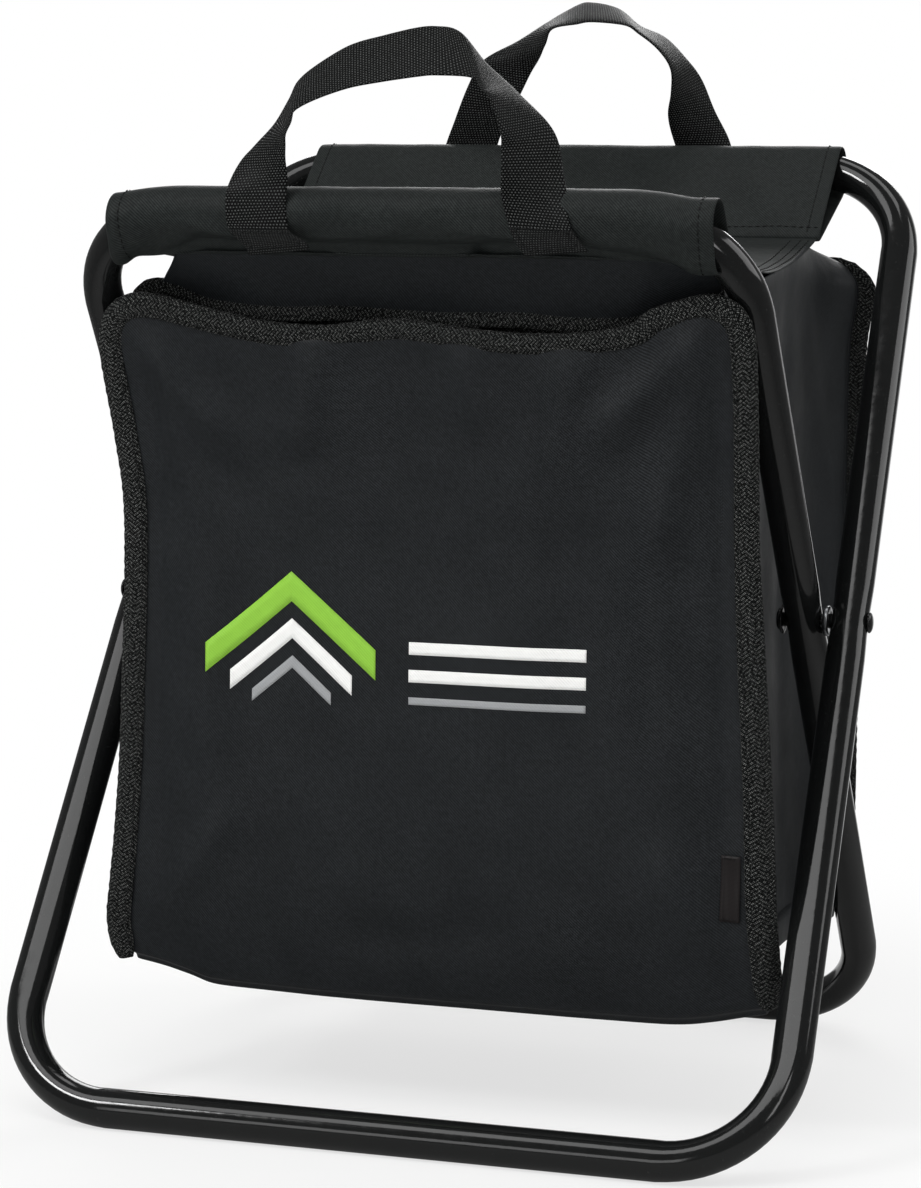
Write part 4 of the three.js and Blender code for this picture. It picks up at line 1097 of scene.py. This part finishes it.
def makeBack():
    sizes = backSizes
    rows = []
    across = np.linspace(-1, 1, sizes["columns"])
    for z in np.linspace(*sizes["wall"]):
        x = (float(backHalf(z)) + sizes["seam"]) * across
        level = np.full_like(x, z)
        tall = min(max((z - sizes["puffFoot"]) / sizes["puffHeight"], 0), 1)
        puff = np.cos(math.pi / 2 * across) ** 0.6 * math.sin(math.pi * tall) ** 0.5
        slack = slackIn(np.stack([x, np.zeros_like(x), level], -1), sizes["slack"])
        folds = foldHeights(x, level, backFolds) * sizes["foldShare"]
        y = bag["back"] + sizes["lift"] + sizes["puff"] * puff + folds + slack * puff
        rows.append(np.column_stack([x, y, level]))
    for share in np.linspace(0.12, 1, 10):   # the slope up to the rear sleeve
        x = sizes["slopeHalf"] * across
        y = np.full_like(x, bag["back"] + sizes["slopeLift"] - sizes["slopeRun"] * share)
        crown = sizes["slopeCrown"] * math.sin(math.pi * share) - sizes["slopeEdge"] * np.abs(across) ** 6
        rows.append(np.column_stack([x, y, sizes["slopeFoot"] + sizes["slopeRise"] * share + crown]))
    piece = clothPiece("backWall", np.array(rows), twill, wallSizes["thickness"], "rear_cover",
                       "back_panel rear_upper_panel", outward=(0, 1, 0.2))


def makeBackTape():
    sizes = backTapeSizes
    low, corner = sizes["low"], sizes["corner"]
    side = [(float(backHalf(z)) + sizes["reach"], z) for z in sizes["levels"]]
    bottom = []
    for degrees in range(-90, 15, 15):
        angle = math.radians(degrees)
        bottom.append((side[0][0] - corner + corner * math.cos(angle),
                       low + corner + corner * math.sin(angle)))
    right = [(60, low)] + bottom + side + sizes["shoulder"]
    line = [(0, low)] + right + [(0, sizes["top"])] + [(-x, z) for x, z in reversed(right)] + [(-1.0, low)]
    line = throughPoints(line, sizes["count"])
    points = np.column_stack([line[:, 0], np.full(len(line), bag["back"] + sizes["lift"]), line[:, 1]])
    normals = np.tile((0.0, 1.0, 0.0), (len(points), 1))
    points[:, 1] += slackIn(points, sizes["slack"])
    piece = stripOn(points, normals, np.full(len(points), sizes["halfWidth"]),
                    np.full(len(points), sizes["turnBack"]), "backBinding")
    finishPiece(piece, "rear_cover", "binding_tape", "back_binding")
    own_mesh(piece)


def paddedSlab(name, seed):
    # A foam board in its cloth: boxy, with round edges and soft faces
    low, high = (np.array(corner, float) for corner in boardSizes[name])
    power = boardSizes["power"]
    centre, half = (low + high) / 2, (high - low) / 2
    rows = []
    for tip in np.linspace(-math.pi / 2 + 0.04, math.pi / 2 - 0.04, 30):
        ring = []
        for turn in np.linspace(0, 2 * math.pi, 96, endpoint=False):
            flat = abs(math.cos(tip)) ** power
            x = math.copysign(abs(math.cos(turn)) ** power, math.cos(turn)) * flat
            y = math.copysign(abs(math.sin(turn)) ** power, math.sin(turn)) * flat
            z = math.copysign(abs(math.sin(tip)) ** power, math.sin(tip))
            ring.append((x, y, z))
        rows.append(ring)
    rows = np.array(rows) * half + centre
    rows += unit(rows - centre) * (0.3 * unevenness(rows, 24, seed))[..., None]
    return gridMesh(name, rows, twill, closedColumns=True, caps=True)


def makeBoards():
    bottom = paddedSlab("bottomBoard", 41)
    finishPiece(bottom, "rear_cover", "polyester", "bottom_panel")
    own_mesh(bottom)
    front = paddedSlab("frontWall", 43)
    finishPiece(front, "front_cover", "polyester", "front_panel")
    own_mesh(front)


def makeLiner():
    sizes = linerSizes
    (centreX, centreY), (halfX, halfY) = sizes["centre"], sizes["half"]
    turn = np.linspace(0, 2 * math.pi, sizes["columns"], endpoint=False)
    shapeX = np.sign(np.cos(turn)) * np.abs(np.cos(turn)) ** sizes["power"]
    shapeY = np.sign(np.sin(turn)) * np.abs(np.sin(turn)) ** sizes["power"]
    rings = [(z, 1.0) for z in np.linspace(*sizes["wall"])] + sizes["floorEdge"]
    rings += [(sizes["floor"], share) for share in (0.85, 0.65, 0.45, 0.25, 0.05)]
    rows = np.array([np.column_stack([centreX + shapeX * halfX * share, centreY + shapeY * halfY * share,
                                      np.full_like(turn, z)]) for z, share in rings])
    crease = slackIn(rows, sizes["creases"]) - sizes["smooth"]
    inwards = np.array([centreX, centreY, 0]) - rows
    inwards[..., 2] = 0
    rows += unit(inwards) * np.maximum(crease, 0)[..., None]
    piece = thinPiece("coolerLiner", rows, foil, sizes["thickness"], "rear_cover", "cooler_liner",
                      "foil_lining", closedColumns=True)
    foldBack(piece)


makeBack()
makeBackTape()
makeBoards()
makeLiner()
print("walls made")


# The upper front: the panel under the sleeve, its binding, and the zip
upperSizes = {
    "columns": 80, "rows": 22, "left": -109.5, "right": 121.5, "foot": -92.6, "run": 17.4, "thickness": 0.9,
    "narrowing": (14, 3), "overlap": (3, 2.6), "puff": 2.0, "foldRun": 30, "foldShare": 0.8,
    "slack": [(0.5, 20, 61)], "tape": (-118.6, 123, 240), "tapeHalf": 3.3, "tapeLift": 0.8,
    "tapeDrop": 3.2, "tapeTilt": 0.12, "tapeTurn": 0.1, "tapeSlack": [(0.3, 16, 63)],
}
zipSizes = {
    "tapeAcross": (-109, 121, 60), "tapeUp": (313.5, 328.5, 8), "tapeDepth": -89.6, "thickness": 0.7,
    "coilAcross": (-106, 118, 40), "coilDepth": -90.6, "coilHalf": 0.9, "wornEdge": 0.35,
}
upperTop = tableThrough([(-119, 332.0), (-116.6, 335.4), (-112.4, 337.8), (-109.7, 337.8), (-99.4, 335.6),
                         (-92, 331.8), (-81.3, 329.5), (-57.4, 327.8), (-32, 328.6), (-8.8, 327.5),
                         (8.6, 326.8), (41.2, 327.2), (64.7, 325.8), (88.2, 326.6), (95.3, 330),
                         (112.9, 336), (123, 337.3)])
seamLine = tableThrough([(-118, 347.6), (-94, 347.4), (-57, 347.9), (-8.5, 348.2), (22.8, 347.8), (70, 346.6),
                         (104.6, 346), (125, 345)])
upperFolds = [(-104, 3, -84, 27, 7, 2.2), (-84, 27, -60, 6, 8, 1.4), (100, 3, 84, 27, 8, 1.8),
              (-20, 6, -4, 27, 9, 1.0), (44, 6, 58, 27, 9, 1.1)]


def makeUpperPanel():
    sizes = upperSizes
    rows = []
    across = np.linspace(0, 1, sizes["columns"])
    for share in np.linspace(0, 1, sizes["rows"]):
        low = sizes["left"] + sizes["narrowing"][0] * share
        high = sizes["right"] + sizes["narrowing"][1] * share
        x = low + (high - low) * across
        z = (upperTop(x) - sizes["overlap"][0]) * (1 - share) + (seamLine(x) + sizes["overlap"][1]) * share
        y = sizes["foot"] - sizes["run"] * share + sizes["puff"] * math.sin(math.pi * share)
        level = np.full_like(x, share)
        flat = np.stack([x, np.full_like(x, y), z], -1)
        folds = sizes["foldShare"] * foldHeights(x, level * sizes["foldRun"], upperFolds)
        slack = (folds + slackIn(flat, sizes["slack"])) * math.sin(math.pi * share)
        rows.append(np.column_stack([x, y - slack, z + 0.5 * slack]))
    clothPiece("upperPanel", np.array(rows), twill, sizes["thickness"], "front_cover", "front_upper_panel",
               outward=(0, -1, 0.5))


def makeUpperTape():
    sizes = upperSizes
    x = np.linspace(*sizes["tape"])
    points = np.column_stack([x, np.full_like(x, sizes["foot"] - sizes["tapeLift"]),
                              upperTop(x) - sizes["tapeDrop"]])
    points[:, 1] += slackIn(points, sizes["tapeSlack"])
    normals = np.tile(unit((0.0, -1.0, sizes["tapeTilt"])), (len(x), 1))
    piece = stripOn(points, normals, np.full_like(x, sizes["tapeHalf"]),
                    np.full_like(x, sizes["tapeTurn"]), "upperBinding", scallop=0.15)
    finishPiece(piece, "front_cover", "binding_tape", "upper_binding")


def makeZip():
    sizes = zipSizes
    low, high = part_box("zip_tape")
    x, z = np.meshgrid(np.linspace(*sizes["tapeAcross"]), np.linspace(*sizes["tapeUp"]))
    y = sizes["tapeDepth"] + 0.25 * unevenness(np.stack([x, z * 0, z], -1), 15, 65)
    thinPiece("zipTape", np.stack([x, y, z], -1), tape, sizes["thickness"], "front_cover", "zip_tape",
              "binding_tape", outward=(0, -1, 0))
    middle = (low.z + high.z) / 2 / mm
    across = np.linspace(*sizes["coilAcross"])
    line = np.column_stack([across, np.full_like(across, sizes["coilDepth"]), np.full_like(across, middle)])
    teeth = []
    for offset in (-sizes["coilHalf"], sizes["coilHalf"]):
        shifted = line + np.array([0.4 * offset, 0, offset])
        teeth += stitchParts(shifted, pitch=1.5, length=1.0, radius=0.62)
    finishPiece(joined("zipCoil", teeth, [zipNylon]), "front_cover", "binding_tape")
    for nodeName in ("zip_slider", "zip_pull"):
        edge = repaint(nodeName, sliderEnamel).modifiers.new("worn edges", "BEVEL")
        edge.width = sizes["wornEdge"] * mm
        edge.segments = 3


makeUpperPanel()
makeUpperTape()
makeZip()
print("upper front made")


# The carry handles: pairs are points on the strap's two edges, all along it
handles = {
    "front": {
        "cover": "front_cover", "outside": -1, "hinge": "front_handle_swing", "count": 190,
        "pairs": [
            (-57.2, -127.0, 348.0, -33.6, -127.0, 350.2), (-58.7, -127.6, 351.0, -34.8, -127.6, 353.3),
            (-65.3, -127.8, 357.5, -41.4, -127.8, 357.4),
            (-66.6, -127.8, 362.9, -43.1, -127.8, 364.3), (-67.0, -127.6, 369.4, -43.1, -127.6, 369.6),
            (-65.8, -126.4, 374.4, -43.5, -127.0, 376.1), (-64.5, -119.1, 383.8, -42.3, -129.6, 384.5),
            (-60.4, -114.7, 390.1, -41.7, -131.3, 389.8), (-53.6, -110.8, 398.7, -41.4, -132.2, 394.3),
            (-48.1, -109.2, 408.4, -40.0, -130.7, 398.5), (-44.8, -108.1, 415.3, -39.0, -129.1, 403.1),
            (-38.0, -107.5, 421.1, -30.7, -127.3, 407.7), (-24.6, -107.3, 428.7, -18.3, -124.7, 412.0),
            (-11.1, -107.2, 432.5, -5.4, -123.4, 414.3), (2.6, -107.2, 435.5, 7.9, -122.3, 416.2),
            (11.1, -107.0, 436.0, 16.2, -122.2, 416.8), (20.6, -107.9, 433.8, 30.5, -122.1, 415.8),
            (30.6, -106.0, 422.1, 35.9, -127.8, 411.1), (44.0, -106.3, 410.4, 39.6, -130.8, 408.4),
            (57.0, -110.7, 399.3, 44.5, -132.0, 395.3), (63.0, -114.5, 390.2, 44.9, -131.7, 388.7),
            (65.8, -118.4, 379.3, 45.3, -132.7, 379.0), (71.0, -127.8, 362.8, 45.4, -127.8, 364.8),
            (73.5, -127.8, 356.0, 50.0, -127.8, 355.0), (78.0, -127.2, 351.0, 54.0, -127.2, 349.0)],
    },
    "rear": {
        "cover": "rear_cover", "outside": 1, "hinge": "rear_handle_swing", "count": 190,
        "pairs": [
            (-67.0, 138.4, 372.0, -42.0, 138.4, 372.0), (-67.2, 142.4, 380.0, -42.2, 142.4, 380.0),
            (-67.0, 143.4, 388.0, -42.0, 143.4, 388.0), (-66.0, 142.9, 395.3, -41.0, 142.9, 395.4),
            (-60.5, 140.0, 407.5, -35.6, 140.0, 407.6), (-52.0, 136.8, 424.2, -29.0, 136.8, 419.2),
            (-44.0, 134.3, 433.6, -23.2, 134.3, 431.3), (-30.6, 140.9, 443.3, -13.1, 123.3, 440.5),
            (-17.2, 141.9, 451.4, -8.6, 118.8, 447.4), (-3.2, 140.4, 458.8, 3.2, 118.1, 449.5),
            (3.9, 140.1, 460.0, 10.2, 118.0, 450.3), (16.0, 140.4, 457.3, 25.2, 118.7, 448.9),
            (25.3, 142.6, 449.8, 32.0, 119.0, 444.9), (37.1, 144.2, 444.5, 40.5, 120.3, 437.9),
            (46.4, 146.5, 435.2, 45.7, 122.2, 429.2), (53.2, 147.8, 426.3, 45.1, 125.4, 418.8),
            (59.8, 148.3, 412.0, 42.6, 130.5, 408.8), (67.0, 146.0, 396.0, 44.9, 141.0, 395.6),
            (67.5, 143.6, 388.0, 43.0, 143.6, 388.0), (68.0, 142.4, 380.0, 43.2, 142.4, 380.0),
            (68.0, 138.4, 372.0, 43.0, 138.4, 372.0)],
    },
}
strap = {
    "half": 12.5, "thick": 0.85, "around": 26, "edgePower": 0.55, "facePower": 0.6, "seamStart": 1.8,
    "seamReach": 12.0, "blendRise": 3, "threadLift": 0.12, "threadShare": 0.8,
}


def makeHandle(name):
    handle = handles[name]
    line = throughPoints(handle["pairs"], handle["count"])
    middle = (line[:, :3] + line[:, 3:]) / 2
    along = unit(np.gradient(middle, axis=0))
    across = unit(line[:, :3] - line[:, 3:])
    normal = unit(np.cross(along, across))
    turn = np.linspace(0, 2 * math.pi, strap["around"], endpoint=False)
    side = np.sign(np.cos(turn)) * np.abs(np.cos(turn)) ** strap["edgePower"] * strap["half"]
    lift = np.sign(np.sin(turn)) * np.abs(np.sin(turn)) ** strap["facePower"] * strap["thick"]
    rings = middle[:, None] + across[:, None] * side[None, :, None] + normal[:, None] * lift[None, :, None]
    rings = rings + 0.12 * unevenness(rings, 10, 71)[..., None] * normal[:, None]
    piece = gridMesh(f"{name}Handle", rings, webbing, closedColumns=True, caps=True)
    piece.data.materials.append(webbingEnd)
    run = runAlong(middle)
    for number, face in enumerate(piece.data.polygons[:(len(rings) - 1) * strap["around"]]):
        at = run[number // strap["around"]]
        if min(at, run[-1] - at) < strap["seamReach"]:
            face.material_index = 1
    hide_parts(f"{name}_handle_loop", f"{name}_handle_tab_left", f"{name}_handle_tab_right")
    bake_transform(piece)
    facing = 1 if normal[3][1] * handle["outside"] > 0 else -1
    skin = middle + normal * facing * (strap["thick"] + strap["threadLift"])
    edge = across * strap["half"] * strap["threadShare"]
    lines = []
    for distance in (run, run[-1] - run):   # a box of stitches at each end
        rows = np.where((distance > strap["seamStart"]) & (distance < strap["seamReach"]))[0]
        lines += [skin[rows] + edge[rows] * side for side in (-1, 1)]
        lines += [skin[row] + edge[row] * np.linspace(-1, 1, 9)[:, None] for row in (rows[0], rows[-1])]
    sewPiece(f"{name}HandleThread", lines, handle["cover"], "webbing", pitch=2.6, length=1.8, radius=0.24)


makeHandle("front")
makeHandle("rear")
print("handles made")


# The camera stands where the photograph was taken, and soft lamps stand round the object
view = {
    "position": (424.4, -1372.0, 364.3), "target": (-10.9, 0, 205.1), "roll": 0.63, "lens": 103.9,
    "sensor": 36.0,
}
camera = bpy.data.objects.new("camera", bpy.data.cameras.new("camera"))
bpy.context.scene.collection.objects.link(camera)
camera.data.lens = view["lens"]
camera.data.sensor_width = view["sensor"]
camera.location = Vector(view["position"]) * mm
facing = (Vector(view["target"]) - Vector(view["position"])).to_track_quat("-Z", "Y").to_matrix().to_4x4()
camera.matrix_world = Matrix.Translation(camera.location) @ facing @ Matrix.Rotation(
    math.radians(view["roll"]), 4, "Z")
bpy.context.scene.camera = camera

lights = {
    "key": {"place": (-1.3, -1.7, 1.7), "size": (0.55, 0.45), "power": 19.0},
    "overhead": {"place": (-0.3, -1.1, 1.95), "size": (3.4, 0.8), "power": 23.0},
    "front": {"place": (-0.5, -2.4, 0.45), "size": (1.2, 0.55), "power": 4.5},
    "fill": {"place": (1.7, -1.5, 0.9), "size": (0.3, 1.2), "power": 4.0},
    "side": {"place": (2.0, 0.9, 1.3), "size": (1.5, 1.2), "power": 11.0},
    "top": {"place": (0.1, 0.4, 2.1), "size": (1.4, 0.6), "power": 6.0},
    "rear": {"place": (-0.4, 2.1, 1.3), "size": (1.4, 1.0), "power": 22.0},
}
for lightName, light in lights.items():
    lamp = bpy.data.lights.new(lightName, "AREA")
    lamp.shape = "RECTANGLE"
    lamp.size, lamp.size_y = light["size"]
    lamp.energy = light["power"]
    holder = bpy.data.objects.new(lightName, lamp)
    bpy.context.scene.collection.objects.link(holder)
    place = Vector(light["place"])
    holder.matrix_world = Matrix.Translation(place) @ (
        Vector((0, 0, 0.2)) - place).to_track_quat("-Z", "Y").to_matrix().to_4x4()


def seenDirectly(tree):
    # 1 for what the camera, a gloss or a clear material sees, 0 for the light on the object
    path = addNode(tree, "ShaderNodeLightPath")
    either = addNode(tree, "ShaderNodeMath", {0: path.outputs["Is Camera Ray"],
                     1: path.outputs["Is Glossy Ray"]}, operation="MAXIMUM")
    return addNode(tree, "ShaderNodeMath", {0: either.outputs[0], 1: path.outputs["Is Transmission Ray"]},
                   operation="MAXIMUM").outputs[0]


studio = {
    "daylight": 0.3, "room": 0.14, "sweep": (0.88, 0.98), "floorFade": (0.2, 0.6), "floorGlow": (0.7, 1.0),
    "floorReach": 6000.0,
}


def studioLevel(tree, direction):
    # The camera sees white all round; a gloss sees the white sweep behind and the dimmer room elsewhere
    along = addNode(tree, "ShaderNodeSeparateXYZ", {0: direction}).outputs["Y"]
    level = spread(tree, along, studio["sweep"], (studio["room"], 1.0))
    camera = addNode(tree, "ShaderNodeLightPath").outputs["Is Camera Ray"]
    return addNode(tree, "ShaderNodeMath", {0: level, 1: camera}, operation="MAXIMUM").outputs[0]


world = bpy.data.worlds.new("studio")
bpy.context.scene.world = world
world.use_nodes = True
backdrop = world.node_tree.nodes["Background"]
backdrop.inputs["Color"].default_value = linearColour("#ffffff")
around = addNode(world.node_tree, "ShaderNodeTexCoord").outputs["Generated"]
level = spread(world.node_tree, seenDirectly(world.node_tree), (0.0, 1.0),
               (studio["daylight"], studioLevel(world.node_tree, around)))
world.node_tree.links.new(level, backdrop.inputs["Strength"])


def makeFloor():
    # Pale painted studio floor: takes the object's shadow close by and runs out into white
    floorMaterial, tree, shader = startMaterial("pale studio floor", {
        "Base Color": linearColour("#f4f4f3"), "Roughness": 0.9, "Specular IOR Level": 0.1})
    place = addNode(tree, "ShaderNodeNewGeometry").outputs["Position"]
    away = addNode(tree, "ShaderNodeVectorMath", {0: place}, operation="LENGTH").outputs["Value"]
    direction = addNode(tree, "ShaderNodeVectorMath", {0: place}, operation="NORMALIZE").outputs["Vector"]
    fade = spread(tree, away, studio["floorFade"], studio["floorGlow"], interpolation_type="SMOOTHSTEP")
    glow = addNode(tree, "ShaderNodeEmission", {"Color": linearColour("#ffffff"),
                   "Strength": studioLevel(tree, direction)})
    mix = addNode(tree, "ShaderNodeMixShader", {0: product(tree, fade, seenDirectly(tree)),
                  1: shader.outputs[0], 2: glow.outputs[0]})
    tree.links.new(mix.outputs[0], tree.nodes["Material Output"].inputs["Surface"])
    reach = studio["floorReach"]
    corners = [(-reach, -reach, 0), (reach, -reach, 0), (reach, reach, 0), (-reach, reach, 0)]
    makeMesh("floor", corners, [[0, 1, 2, 3]], None, [floorMaterial])


makeFloor()
bpy.context.scene.view_settings.view_transform = "Standard"
print("studio made")
